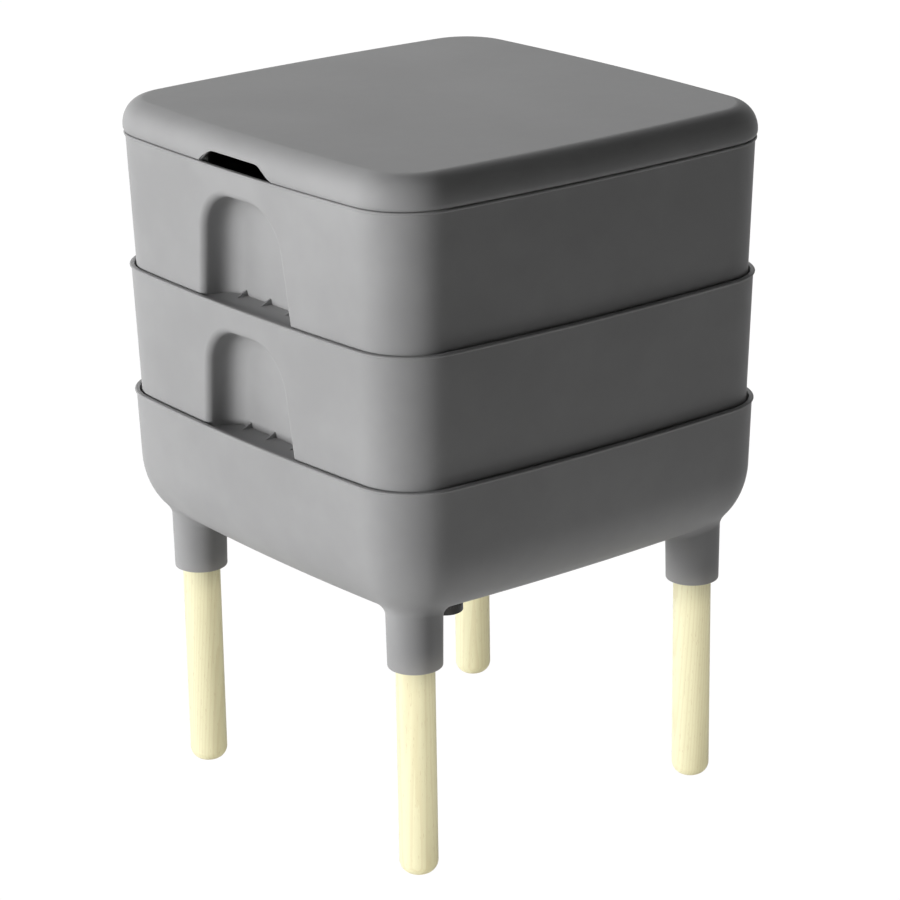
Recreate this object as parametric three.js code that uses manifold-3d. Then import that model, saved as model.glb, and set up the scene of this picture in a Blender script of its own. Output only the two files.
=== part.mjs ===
// A worm composter: a collector base on four dowel legs, two stacked trays, a lid and a drain tap.
// Millimetres, +Z up. The origin is on the floor, under the middle of the stack.
// The front, with the hand recesses and the lid's slot, faces -Y.

import * as THREE from 'three';
import { mergeVertices } from 'three/addons/utils/BufferGeometryUtils.js';
import Module from 'manifold-3d';

// Driving dimensions of the stack
const BODY_WIDTH = 386;
const CORNER_RADIUS = 52;
const SIDE_RADIUS = 2190;
const BASE_CLEAR_HEIGHT = 213;
const BASE_HEIGHT = 110.2;
const TRAY_HEIGHT = 121.8;
const NEST_IN_BASE = 19;
const NEST_IN_TRAY = 16;
const LID_HEIGHT = 25;
const LEG_DIAMETER = 30;
const SOCKET_LENGTH = 42.5;

// Mouldings: walls, draft, rims and the gaps that let them lift apart
const WALL = 2.6;
const DRAFT_SLOPE_SHARE = 0.0384;
const SEAT_GAP = 0.3;
const RIM_BEAD_HEIGHT = 2.4;
const RIM_BEAD_BULGE = 1.3;
const TRAY_RIM_INSET = 0.5;
const TRAY_FOOT_RADIUS = 5;
const BASE_FOOT_WIDTH = 47.5;
const BASE_FOOT_HEIGHT = 58;
const DRAIN_FALL = 2.5;
const CUT_OVERRUN = 5;

// Hand recess in the front and back of a tray
const LEDGE_HEIGHT = 14;
const RECESS_WIDTH = 109;
const RECESS_TOP_DROP = 22.8;
const RECESS_LEAN = THREE.MathUtils.degToRad(7.1);
const RECESS_CORNER_RADIUS = 36;
const RECESS_DEPTH = 26.5;
const RECESS_HOLLOW_RADIUS = 18;
const RECESS_MOUTH_RADIUS = 6;
const GUSSET_COUNT = 3;
const GUSSET_SPACING = 31;
const GUSSET_SHIFT = -3;
const GUSSET_THICKNESS = 1.8;
const GUSSET_HEIGHT = 4.6;
const GUSSET_REACH = 9.5;

// Stacking ribs and the holes in a tray's floor
const RIB_OFFSET = 100;
const RIB_THICKNESS = 4;
const RIB_REACH = 14;
const HOLE_DIAMETER = 9;
const HOLE_PITCH = 50;
const HOLES_PER_ROW = 6;

// Lid
const LID_CROWN_WIDTH = 17.5;
const LID_CROWN_HEIGHT = 20.5;
const LID_HEM_INSET = 2.6;
const LID_SKIRT_INSET = 10;
const LID_SKIRT_DROP = 8;
const LID_RIB_OFFSET = 62;
const LID_RIB_HEIGHT = 6;
const SLOT_WIDTH_LOW = 92;
const SLOT_WIDTH_HIGH = 63;
const SLOT_HEIGHT = 10.6;
const SLOT_CORNER_RADIUS = 7;
const SLOT_REACH = 8;

// Legs and their sockets
const LEG_OUTSET = 3.7;
const LEG_CLEARANCE = 0.3;
const LEG_DOME_RADIUS = 10.5;
const LEG_TOP_CHAMFER = 1.5;
const LEG_INSERTION = 61.5;
const SOCKET_DIAMETER = 42.2;
const SOCKET_WALL = 2.8;
const SOCKET_FLARE = 6;
const SOCKET_DRAFT = 0.6;
const SOCKET_LIP_RADIUS = 1.2;
const SOCKET_RIB_COUNT = 6;
const SOCKET_RIB_THICKNESS = 3;

// Drain tap
const DRAIN_DIAMETER = 28.6;
const DRAIN_DROP = 74;
const DRAIN_SEAT_RADIUS = 24;
const SPIGOT_RADIUS = 11;
const SPIGOT_BORE_RADIUS = 7;
const BARREL_BORE_RADIUS = 8.6;
const SPIGOT_RISE = 3;
const FLANGE_RADIUS = 19;
const FLANGE_THICKNESS = 3;
const WASHER_THICKNESS = 2;
const WASHER_MARGIN = 1;
const NUT_ACROSS_FLATS = 34;
const NUT_THICKNESS = 7;
const SLEEVE_WALL = 2;
const SLEEVE_TOP_GAP = 3;
const CUP_FLOOR = 3.5;
const WINDOW_SILL = 2;
const WINDOW_HEIGHT = 9;
const WINDOW_ANGLE = THREE.MathUtils.degToRad(80);
const RING_GROOVE_DEPTH = 1.8;
const RING_SECTION = 1.4;
const RING_DROP = 12;
const SNAP_LIP_HEIGHT = 2;
const SNAP_LIP_REACH = 0.6;
const SNAP_GROOVE_DEPTH = 1;
const RUNNING_GAP = 0.3;

// Facets of the round stretches
const CORNER_STEPS = 6;
const SIDE_STEPS = 4;
const FILLET_STEPS = 3;
const FOOT_STEPS = 5;
const BEAD_STEPS = 4;
const CROWN_STEPS = 6;
const ARCH_STEPS = 4;
const ROUND_STEPS = 24;
const SOCKET_STEPS = 16;
const HOLE_STEPS = 6;

// Sizes and heights that follow
const halfWidth = BODY_WIDTH / 2;
const sideCentre = halfWidth - SIDE_RADIUS;
const cornerCentre = (2 * sideCentre
  + Math.sqrt(8 * (SIDE_RADIUS - CORNER_RADIUS) ** 2 - 4 * sideCentre ** 2)) / 4;
const sideAngle = Math.atan2(cornerCentre - sideCentre, cornerCentre);
const baseRimHeight = BASE_CLEAR_HEIGHT + BASE_HEIGHT;
const trayLowerHeight = baseRimHeight - NEST_IN_BASE;
const trayUpperHeight = trayLowerHeight + TRAY_HEIGHT - NEST_IN_TRAY;
const lidSeatHeight = trayUpperHeight + TRAY_HEIGHT + SEAT_GAP;
const legAxis = cornerCentre + LEG_OUTSET;
const legRadius = LEG_DIAMETER / 2;
const socketRadius = SOCKET_DIAMETER / 2;
const threadHole = SPIGOT_RADIUS + SEAT_GAP;
const quarterTurn = Math.PI / 2;

const wasm = await Module();
wasm.setup();

// Solids: three.js geometry in, joined and cut, three.js geometry out

function solid(geometry) {
  const bare = geometry.clone();
  bare.deleteAttribute('normal');
  bare.deleteAttribute('uv');
  const merged = mergeVertices(bare);
  return new wasm.Manifold(new wasm.Mesh({
    numProp: 3,
    vertProperties: Float32Array.from(merged.attributes.position.array),
    triVerts: Uint32Array.from(merged.index.array),
  }));
}

function geometryOf(body) {
  const mesh = body.getMesh();
  const geometry = new THREE.BufferGeometry();
  geometry.setAttribute('position', new THREE.BufferAttribute(mesh.vertProperties, 3));
  geometry.setIndex(new THREE.BufferAttribute(mesh.triVerts, 1));
  geometry.computeVertexNormals();
  return geometry;
}

function joined(solids) {
  return solids.reduce((sum, next) => sum.add(next));
}

// A closed solid through rings of points, with a fan over each end
function loft(rings) {
  const count = rings[0].length;
  const points = rings.flat();
  const index = [];
  for (let ring = 0; ring + 1 < rings.length; ring += 1) {
    for (let i = 0; i < count; i += 1) {
      const here = ring * count + i;
      const next = ring * count + (i + 1) % count;
      index.push(here, next, next + count);
      index.push(here, next + count, here + count);
    }
  }
  for (const [ring, turn] of [[0, true], [rings.length - 1, false]]) {
    const middle = points.length;
    const sum = rings[ring].reduce((total, point) => total.add(point), new THREE.Vector3());
    points.push(sum.divideScalar(count));
    for (let i = 0; i < count; i += 1) {
      const here = ring * count + i;
      const next = ring * count + (i + 1) % count;
      index.push(middle, turn ? next : here, turn ? here : next);
    }
  }
  const geometry = new THREE.BufferGeometry().setFromPoints(points);
  geometry.setIndex(index);
  return geometry;
}

function box(xRange, yRange, zRange) {
  const [x, y, z] = [xRange, yRange, zRange].map(([low, high]) => high - low);
  const geometry = new THREE.BoxGeometry(x, y, z);
  geometry.translate(xRange[0] + x / 2, yRange[0] + y / 2, zRange[0] + z / 2);
  return solid(geometry);
}

function lathe(profile, steps = ROUND_STEPS) {
  const geometry = new THREE.LatheGeometry(profile.map(([r, z]) => new THREE.Vector2(r, z)), steps);
  geometry.rotateX(quarterTurn);
  return solid(geometry);
}

function extrudeUp(shape, low, high) {
  const geometry = new THREE.ExtrudeGeometry(shape, { depth: high - low, bevelEnabled: false,
    curveSegments: FILLET_STEPS });
  geometry.translate(0, 0, low);
  return solid(geometry);
}

function halfTurned(body) {
  return body.rotate([0, 0, 180]);
}

// Plan outline: a square with bulged sides and round corners, drawn in by an inset

function planRing(inset, z, share = 1) {
  const ring = [];
  for (let side = 0; side < 4; side += 1) {
    const spin = side * quarterTurn;
    const corner = new THREE.Vector3(cornerCentre, cornerCentre, z);
    const middle = new THREE.Vector3(0, sideCentre, z);
    const firstAngle = quarterTurn - sideAngle;
    for (let i = 0; i <= CORNER_STEPS; i += 1) {
      const angle = firstAngle + (sideAngle - firstAngle) * i / CORNER_STEPS;
      ring.push(outward(corner, CORNER_RADIUS - inset, angle, spin, share));
    }
    for (let i = 1; i < SIDE_STEPS; i += 1) {
      const angle = sideAngle + (Math.PI - 2 * sideAngle) * i / SIDE_STEPS;
      ring.push(outward(middle, SIDE_RADIUS - inset, angle, spin, share));
    }
  }
  return ring;
}

function outward(centre, radius, angle, spin, share) {
  const point = new THREE.Vector3(centre.x + radius * Math.cos(angle),
    centre.y + radius * Math.sin(angle), centre.z);
  point.applyAxisAngle(new THREE.Vector3(0, 0, 1), spin);
  return new THREE.Vector3(point.x * share, point.y * share, centre.z);
}

// How far a plan point lies inside the outline
function insetAt(x, y) {
  const [across, along] = [Math.min(Math.abs(x), Math.abs(y)), Math.max(Math.abs(x), Math.abs(y))];
  const angle = Math.atan2(along - cornerCentre, across - cornerCentre);
  const inCorner = angle <= sideAngle && angle >= quarterTurn - sideAngle;
  return inCorner
    ? CORNER_RADIUS - Math.hypot(across - cornerCentre, along - cornerCentre)
    : SIDE_RADIUS - Math.hypot(across, along - sideCentre);
}

function wallInset(height, z, rimInset) {
  return rimInset + RIM_BEAD_BULGE + (height - z) * DRAFT_SLOPE_SHARE;
}

// Rings of the rounded bead round a rim
function beadRings(height, rimInset) {
  const half = RIM_BEAD_HEIGHT / 2;
  const rings = [];
  for (let i = 0; i <= BEAD_STEPS; i += 1) {
    const angle = (i / BEAD_STEPS - 1 / 2) * Math.PI;
    const z = height - half + half * Math.sin(angle);
    rings.push(planRing(wallInset(height, z, rimInset) - RIM_BEAD_BULGE * Math.cos(angle), z));
  }
  return rings;
}

// Rings of a foot's elliptic round, from the flat underside up to the wall
function footRings(inset, width, height, z, steps) {
  const rings = [];
  for (let i = 0; i <= steps; i += 1) {
    const angle = quarterTurn * i / steps;
    rings.push(planRing(inset + width * (1 - Math.sin(angle)), z + height * (1 - Math.cos(angle))));
  }
  return rings;
}

// Ribs on the inner faces of the walls, which carry the tray above
function stackingRibs(low, high, wallHalf) {
  const ribs = [];
  for (let side = 0; side < 4; side += 1) {
    for (const x of [-RIB_OFFSET, RIB_OFFSET]) {
      const half = RIB_THICKNESS / 2;
      const rib = box([x - half, x + half], [wallHalf - RIB_REACH, wallHalf + CUT_OVERRUN], [low, high]);
      ribs.push(rib.rotate([0, 0, 90 * side]));
    }
  }
  return joined(ribs);
}

// Hand recess: an arch drawn on the wall, hollowed to its depth

function trayWallY(x, z) {
  return x * x / (2 * SIDE_RADIUS) - halfWidth + wallInset(TRAY_HEIGHT, z, TRAY_RIM_INSET);
}

function recessHalfWidth(z) {
  return RECESS_WIDTH / 2 - (z - LEDGE_HEIGHT) * Math.tan(RECESS_LEAN);
}

function archRing(offset, depth, bottom) {
  const top = TRAY_HEIGHT - RECESS_TOP_DROP;
  const z = top - RECESS_CORNER_RADIUS;
  const x = recessHalfWidth(z) - RECESS_CORNER_RADIUS / Math.cos(RECESS_LEAN);
  const right = [[recessHalfWidth(bottom) - offset / Math.cos(RECESS_LEAN), bottom]];
  for (let i = 0; i <= ARCH_STEPS; i += 1) {
    const angle = RECESS_LEAN + (quarterTurn - RECESS_LEAN) * i / ARCH_STEPS;
    const radius = RECESS_CORNER_RADIUS - offset;
    right.push([x + radius * Math.cos(angle), z + radius * Math.sin(angle)]);
  }
  const left = right.map(([px, pz]) => [-px, pz]).reverse();
  return [...right, ...left].map(([px, pz]) => new THREE.Vector3(px, trayWallY(px, pz) + depth, pz));
}

// The recess from its back to the mouth, or its skin when grown by a wall
function recess(growth, bottom) {
  const hollow = RECESS_HOLLOW_RADIUS + growth;
  const rings = [];
  for (let i = 0; i <= FILLET_STEPS; i += 1) {
    const angle = quarterTurn * i / FILLET_STEPS;
    const offset = hollow * (1 - Math.sin(angle)) - growth;
    rings.push(archRing(offset, RECESS_DEPTH + growth - hollow * (1 - Math.cos(angle)), bottom));
  }
  if (growth === 0) {
    for (let i = 0; i <= FILLET_STEPS; i += 1) {
      const angle = quarterTurn * i / FILLET_STEPS;
      const offset = -RECESS_MOUTH_RADIUS * (1 - Math.cos(angle));
      rings.push(archRing(offset, RECESS_MOUTH_RADIUS * (1 - Math.sin(angle)), bottom));
    }
    rings.push(archRing(-RECESS_MOUTH_RADIUS, -CUT_OVERRUN, bottom));
  } else {
    rings.push(archRing(-growth - RECESS_MOUTH_RADIUS, -CUT_OVERRUN, bottom));
  }
  return solid(loft(rings));
}

// The space under the ledge, open below
function underLedge() {
  const half = recessHalfWidth(LEDGE_HEIGHT);
  const front = trayWallY(0, 0) + WALL;
  const back = trayWallY(0, LEDGE_HEIGHT) + RECESS_DEPTH;
  const shape = new THREE.Shape();
  shape.moveTo(-half, front);
  shape.lineTo(half, front);
  shape.absarc(half - RECESS_HOLLOW_RADIUS, back - RECESS_HOLLOW_RADIUS, RECESS_HOLLOW_RADIUS,
    0, quarterTurn, false);
  shape.absarc(RECESS_HOLLOW_RADIUS - half, back - RECESS_HOLLOW_RADIUS, RECESS_HOLLOW_RADIUS,
    quarterTurn, Math.PI, false);
  shape.closePath();
  return extrudeUp(shape, -CUT_OVERRUN, LEDGE_HEIGHT - WALL);
}

function gussets() {
  const back = trayWallY(0, LEDGE_HEIGHT) + RECESS_DEPTH;
  const embed = WALL / 2;
  const shape = new THREE.Shape();
  shape.moveTo(back - GUSSET_REACH, LEDGE_HEIGHT);
  shape.lineTo(back, LEDGE_HEIGHT + GUSSET_HEIGHT);
  shape.lineTo(back + embed, LEDGE_HEIGHT + GUSSET_HEIGHT);
  shape.lineTo(back + embed, LEDGE_HEIGHT - embed);
  shape.lineTo(back - GUSSET_REACH, LEDGE_HEIGHT - embed);
  shape.closePath();
  const pieces = [];
  for (let i = 0; i < GUSSET_COUNT; i += 1) {
    const geometry = new THREE.ExtrudeGeometry(shape, { depth: GUSSET_THICKNESS, bevelEnabled: false });
    geometry.rotateX(quarterTurn);
    geometry.rotateZ(quarterTurn);
    geometry.translate((i - (GUSSET_COUNT - 1) / 2) * GUSSET_SPACING - GUSSET_THICKNESS / 2, 0, 0);
    geometry.translate(GUSSET_SHIFT, 0, 0);
    pieces.push(solid(geometry));
  }
  return joined(pieces);
}

function floorHoles() {
  const holes = [];
  const radius = HOLE_DIAMETER / 2;
  for (let row = 0; row < HOLES_PER_ROW; row += 1) {
    for (let column = 0; column < HOLES_PER_ROW; column += 1) {
      const hole = new THREE.CylinderGeometry(radius, radius, WALL + 2 * CUT_OVERRUN, HOLE_STEPS);
      hole.rotateX(quarterTurn);
      hole.translate((column - (HOLES_PER_ROW - 1) / 2) * HOLE_PITCH,
        (row - (HOLES_PER_ROW - 1) / 2) * HOLE_PITCH, WALL / 2);
      holes.push(solid(hole));
    }
  }
  return joined(holes);
}

function trayGeometry() {
  const foot = wallInset(TRAY_HEIGHT, TRAY_FOOT_RADIUS, TRAY_RIM_INSET);
  const outside = solid(loft([
    ...footRings(foot, TRAY_FOOT_RADIUS, TRAY_FOOT_RADIUS, 0, FILLET_STEPS),
    ...beadRings(TRAY_HEIGHT, TRAY_RIM_INSET),
  ]));
  const innerFoot = TRAY_FOOT_RADIUS - WALL / 2;
  const cavity = solid(loft([
    ...footRings(foot + WALL, innerFoot, innerFoot, WALL, FILLET_STEPS),
    planRing(wallInset(TRAY_HEIGHT, TRAY_HEIGHT, TRAY_RIM_INSET) + WALL, TRAY_HEIGHT),
    planRing(wallInset(TRAY_HEIGHT, TRAY_HEIGHT, TRAY_RIM_INSET) + WALL, TRAY_HEIGHT + CUT_OVERRUN),
  ]));
  const skin = recess(WALL, -CUT_OVERRUN);
  const ribTop = TRAY_HEIGHT - NEST_IN_TRAY - SEAT_GAP;
  const ribs = stackingRibs(0, ribTop, halfWidth - wallInset(TRAY_HEIGHT, ribTop, TRAY_RIM_INSET) - WALL);
  const space = cavity.subtract(joined([skin, halfTurned(skin), ribs]));
  const hollow = recess(0, LEDGE_HEIGHT);
  const under = underLedge();
  const cuts = joined([space, hollow, halfTurned(hollow), under, halfTurned(under), floorHoles()]);
  const webs = gussets();
  return geometryOf(joined([outside.subtract(cuts), webs, halfTurned(webs)]));
}

// Collector base

const baseFootInset = wallInset(BASE_HEIGHT, BASE_FOOT_HEIGHT, 0);
const flatInset = baseFootInset + BASE_FOOT_WIDTH;

// Height of the base's underside at a plan point, in the base's own frame
function undersideHeight(x, y) {
  const run = BASE_FOOT_WIDTH - (insetAt(x, y) - baseFootInset);
  const share = THREE.MathUtils.clamp(run / BASE_FOOT_WIDTH, 0, 1);
  return BASE_FOOT_HEIGHT * (1 - Math.sqrt(1 - share * share));
}

function socketSolid() {
  const mouth = -SOCKET_LENGTH;
  const levels = [];
  for (let i = 0; i <= 2; i += 1) {
    const angle = quarterTurn * i / 2;
    levels.push({ radius: socketRadius - SOCKET_LIP_RADIUS * (1 - Math.sin(angle)),
      z: mouth + SOCKET_LIP_RADIUS * (1 - Math.cos(angle)), follow: 0 });
  }
  for (let i = 0; i <= FILLET_STEPS; i += 1) {
    const angle = quarterTurn * (1 - i / FILLET_STEPS);
    levels.push({ radius: socketRadius + SOCKET_DRAFT + SOCKET_FLARE * (1 - Math.sin(angle)),
      z: SOCKET_FLARE * (Math.cos(angle) - 1), follow: 1 });
  }
  const last = levels[levels.length - 1];
  levels.push({ radius: last.radius, z: WALL / 2, follow: 1 });
  return solid(loft(levels.map(({ radius, z, follow }) => {
    const ring = [];
    for (let i = 0; i < SOCKET_STEPS; i += 1) {
      const angle = 2 * Math.PI * i / SOCKET_STEPS;
      const x = legAxis + radius * Math.cos(angle);
      const y = legAxis + radius * Math.sin(angle);
      ring.push(new THREE.Vector3(x, y, z + follow * undersideHeight(x, y)));
    }
    return ring;
  })));
}

// Bore of a socket, with ribs that grip the leg
function socketBore() {
  const outer = socketRadius - SOCKET_WALL;
  const inner = legRadius + LEG_CLEARANCE;
  const outline = [];
  const pitch = 2 * Math.PI / SOCKET_RIB_COUNT;
  for (let i = 0; i < SOCKET_RIB_COUNT; i += 1) {
    const half = SOCKET_RIB_THICKNESS / 2;
    const corners = [[outer, -half / outer], [inner, -half / inner], [inner, half / inner],
      [outer, half / outer], [outer, pitch / 2]];
    for (const [radius, angle] of corners) {
      outline.push(new THREE.Vector2(radius * Math.cos(i * pitch + angle),
        radius * Math.sin(i * pitch + angle)));
    }
  }
  const top = LEG_INSERTION - SOCKET_LENGTH + LEG_CLEARANCE;
  const bore = extrudeUp(new THREE.Shape(outline), -SOCKET_LENGTH - CUT_OVERRUN, top);
  return bore.translate([legAxis, legAxis, 0]);
}

// The closed end of a socket inside the base
function socketBoss() {
  const top = LEG_INSERTION - SOCKET_LENGTH + LEG_CLEARANCE + SOCKET_WALL;
  const low = -DRAIN_FALL - CUT_OVERRUN;
  const profile = [[0, low], [socketRadius, low], [socketRadius, top - SOCKET_WALL],
    [socketRadius - SOCKET_WALL, top], [0, top]];
  return lathe(profile, SOCKET_STEPS).translate([legAxis, legAxis, 0]);
}

function atEachCorner(body) {
  return joined([0, 1, 2, 3].map((turn) => body.rotate([0, 0, 90 * turn])));
}

function baseGeometry() {
  const seatShare = DRAIN_SEAT_RADIUS / (halfWidth - flatInset);
  const outside = solid(loft([
    planRing(flatInset, -DRAIN_FALL, seatShare),
    ...footRings(baseFootInset, BASE_FOOT_WIDTH, BASE_FOOT_HEIGHT, 0, FOOT_STEPS),
    ...beadRings(BASE_HEIGHT, 0),
  ]));
  const innerFootWidth = BASE_FOOT_WIDTH - WALL;
  const innerFootHeight = BASE_FOOT_HEIGHT - WALL;
  const cavity = solid(loft([
    planRing(flatInset, WALL - DRAIN_FALL, seatShare),
    ...footRings(baseFootInset + WALL, innerFootWidth, innerFootHeight, WALL, FOOT_STEPS),
    planRing(wallInset(BASE_HEIGHT, BASE_HEIGHT, 0) + WALL, BASE_HEIGHT),
    planRing(wallInset(BASE_HEIGHT, BASE_HEIGHT, 0) + WALL, BASE_HEIGHT + CUT_OVERRUN),
  ]));
  const ribTop = BASE_HEIGHT - NEST_IN_BASE - SEAT_GAP;
  const ribs = stackingRibs(0, ribTop, halfWidth - wallInset(BASE_HEIGHT, ribTop, 0) - WALL);
  const space = cavity.subtract(joined([atEachCorner(socketBoss()), ribs]));
  const hole = lathe([[0, -DRAIN_FALL - CUT_OVERRUN], [threadHole, -DRAIN_FALL - CUT_OVERRUN],
    [threadHole, WALL + CUT_OVERRUN], [0, WALL + CUT_OVERRUN]]);
  const body = outside.add(atEachCorner(socketSolid()));
  return geometryOf(body.subtract(joined([space, atEachCorner(socketBore()), hole])));
}

// Lid

function lidGeometry() {
  const hem = LID_HEIGHT - LID_CROWN_HEIGHT;
  const hemRings = [];
  for (let i = 0; i < FILLET_STEPS; i += 1) {
    const angle = quarterTurn * i / FILLET_STEPS;
    hemRings.push(planRing(LID_HEM_INSET * (1 - Math.sin(angle)), hem * (1 - Math.cos(angle))));
  }
  const crownRings = (grow) => {
    const rings = [];
    for (let i = 0; i <= CROWN_STEPS; i += 1) {
      const angle = quarterTurn * i / CROWN_STEPS;
      const width = LID_CROWN_WIDTH - grow;
      const height = LID_CROWN_HEIGHT - grow;
      rings.push(planRing(LID_CROWN_WIDTH - width * Math.cos(angle), hem + height * Math.sin(angle)));
    }
    return rings;
  };
  const outside = solid(loft([...hemRings, ...crownRings(0)]));
  const cavity = solid(loft([planRing(LID_HEM_INSET + WALL, -CUT_OVERRUN),
    planRing(LID_HEM_INSET + WALL, 0), ...crownRings(WALL)]));
  const skirt = (low, high) => solid(loft([planRing(LID_SKIRT_INSET, low), planRing(LID_SKIRT_INSET, high)]))
    .subtract(solid(loft([planRing(LID_SKIRT_INSET + WALL, low - CUT_OVERRUN),
      planRing(LID_SKIRT_INSET + WALL, high + CUT_OVERRUN)])));
  const ribs = [];
  const reach = halfWidth - LID_SKIRT_INSET;
  for (const turn of [0, 90]) {
    for (const x of [-LID_RIB_OFFSET, LID_RIB_OFFSET]) {
      const rib = box([x - WALL / 2, x + WALL / 2], [-reach, reach],
        [LID_HEIGHT - WALL - LID_RIB_HEIGHT, LID_HEIGHT]);
      ribs.push(rib.rotate([0, 0, turn]));
    }
  }
  const inner = solid(loft([planRing(LID_SKIRT_INSET + WALL / 2, -CUT_OVERRUN),
    planRing(LID_SKIRT_INSET + WALL / 2, LID_HEIGHT)]));
  const space = cavity.subtract(joined([skirt(0, LID_HEIGHT), joined(ribs).intersect(inner)]));
  const slot = lidSlot();
  const shell = outside.subtract(joined([space, slot, halfTurned(slot)]));
  const notch = box([-SLOT_WIDTH_LOW / 2, SLOT_WIDTH_LOW / 2],
    [SLOT_REACH - halfWidth, LID_SKIRT_INSET + WALL + CUT_OVERRUN - halfWidth],
    [-LID_SKIRT_DROP - CUT_OVERRUN, SLOT_HEIGHT]);
  const body = shell.add(skirt(-LID_SKIRT_DROP, hem));
  return geometryOf(body.subtract(joined([notch, halfTurned(notch)])));
}

// The slot in the lid's front and back for air and fingers
function lidSlot() {
  const [low, high] = [SLOT_WIDTH_LOW / 2, SLOT_WIDTH_HIGH / 2];
  const round = SLOT_CORNER_RADIUS / 2;
  const shape = new THREE.Shape();
  shape.moveTo(-low, 0);
  shape.lineTo(-low, -CUT_OVERRUN);
  shape.lineTo(low, -CUT_OVERRUN);
  shape.lineTo(low, 0);
  shape.lineTo(high + round, SLOT_HEIGHT - round);
  shape.quadraticCurveTo(high, SLOT_HEIGHT, high - SLOT_CORNER_RADIUS, SLOT_HEIGHT);
  shape.lineTo(SLOT_CORNER_RADIUS - high, SLOT_HEIGHT);
  shape.quadraticCurveTo(-high, SLOT_HEIGHT, -high - round, SLOT_HEIGHT - round);
  shape.closePath();
  const geometry = new THREE.ExtrudeGeometry(shape, { depth: SLOT_REACH + CUT_OVERRUN, bevelEnabled: false,
    curveSegments: FILLET_STEPS });
  geometry.rotateX(quarterTurn);
  geometry.translate(0, SLOT_REACH - halfWidth, 0);
  return solid(geometry);
}

// Legs

function legGeometry() {
  const length = BASE_CLEAR_HEIGHT - SOCKET_LENGTH + LEG_INSERTION;
  const profile = [[0, 0]];
  for (let i = 0; i <= FILLET_STEPS; i += 1) {
    const angle = quarterTurn * i / FILLET_STEPS;
    profile.push([legRadius - LEG_DOME_RADIUS * (1 - Math.sin(angle)),
      LEG_DOME_RADIUS * (1 - Math.cos(angle))]);
  }
  profile.push([legRadius, length - LEG_TOP_CHAMFER]);
  profile.push([legRadius - LEG_TOP_CHAMFER, length]);
  profile.push([0, length]);
  return geometryOf(lathe(profile));
}

// Drain tap, in the frame of the base's underside at its middle

const washerTop = -SEAT_GAP;
const washerLow = washerTop - WASHER_THICKNESS;
const flangeTop = washerLow - SEAT_GAP;
const flangeLow = flangeTop - FLANGE_THICKNESS;
const nutLow = WALL + SEAT_GAP;
const nutTop = nutLow + NUT_THICKNESS;
const sleeveTop = flangeLow - SLEEVE_TOP_GAP;
const sleeveRadius = DRAIN_DIAMETER / 2;
const barrelRadius = sleeveRadius - SLEEVE_WALL - RUNNING_GAP;
const barrelLow = CUP_FLOOR + RUNNING_GAP - DRAIN_DROP;
const snapHigh = sleeveTop - SNAP_LIP_HEIGHT;
const ringHeight = sleeveTop - RING_DROP;
const ringHalfGroove = RING_SECTION / 2 + RUNNING_GAP;

// A window on each side of the barrel or the sleeve; a quarter turn of the sleeve lines them up
function drainWindows(start) {
  const low = barrelLow + WINDOW_SILL;
  const windows = [0, Math.PI].map((turn) => {
    const shape = new THREE.Shape();
    const from = start + turn - WINDOW_ANGLE / 2;
    const to = from + WINDOW_ANGLE;
    shape.absarc(0, 0, sleeveRadius + CUT_OVERRUN, from, to, false);
    shape.absarc(0, 0, SPIGOT_BORE_RADIUS, to, from, true);
    shape.closePath();
    return extrudeUp(shape, low, low + WINDOW_HEIGHT);
  });
  return joined(windows);
}

function spigotGeometry() {
  const groove = barrelRadius - RING_GROOVE_DEPTH;
  const snap = barrelRadius - SNAP_GROOVE_DEPTH;
  const top = nutTop + SPIGOT_RISE;
  const profile = [
    [BARREL_BORE_RADIUS, barrelLow], [barrelRadius, barrelLow],
    [barrelRadius, ringHeight - ringHalfGroove], [groove, ringHeight - ringHalfGroove],
    [groove, ringHeight + ringHalfGroove], [barrelRadius, ringHeight + ringHalfGroove],
    [barrelRadius, snapHigh - RUNNING_GAP], [snap, snapHigh - RUNNING_GAP],
    [snap, sleeveTop + RUNNING_GAP], [barrelRadius, sleeveTop + RUNNING_GAP],
    [barrelRadius, flangeLow], [FLANGE_RADIUS, flangeLow], [FLANGE_RADIUS, flangeTop],
    [SPIGOT_RADIUS, flangeTop], [SPIGOT_RADIUS, top],
    [SPIGOT_BORE_RADIUS, top], [SPIGOT_BORE_RADIUS, flangeLow], [BARREL_BORE_RADIUS, flangeLow],
    [BARREL_BORE_RADIUS, barrelLow],
  ];
  return geometryOf(lathe(profile).subtract(drainWindows(0)));
}

function sleeveGeometry() {
  const inner = barrelRadius + RUNNING_GAP;
  const lip = inner - SNAP_LIP_REACH;
  const chamfer = SLEEVE_WALL / 2;
  const low = -DRAIN_DROP;
  const profile = [
    [0, low], [sleeveRadius - chamfer, low], [sleeveRadius, low + chamfer],
    [sleeveRadius, sleeveTop - chamfer], [sleeveRadius - chamfer, sleeveTop],
    [lip, sleeveTop], [lip, snapHigh], [inner, snapHigh], [inner, low + CUP_FLOOR], [0, low + CUP_FLOOR],
  ];
  return geometryOf(lathe(profile).subtract(drainWindows(quarterTurn)));
}

function washerGeometry() {
  const outer = FLANGE_RADIUS - WASHER_MARGIN;
  const profile = [[threadHole, washerLow], [outer, washerLow], [outer, washerTop],
    [threadHole, washerTop], [threadHole, washerLow]];
  return geometryOf(lathe(profile));
}

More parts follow.
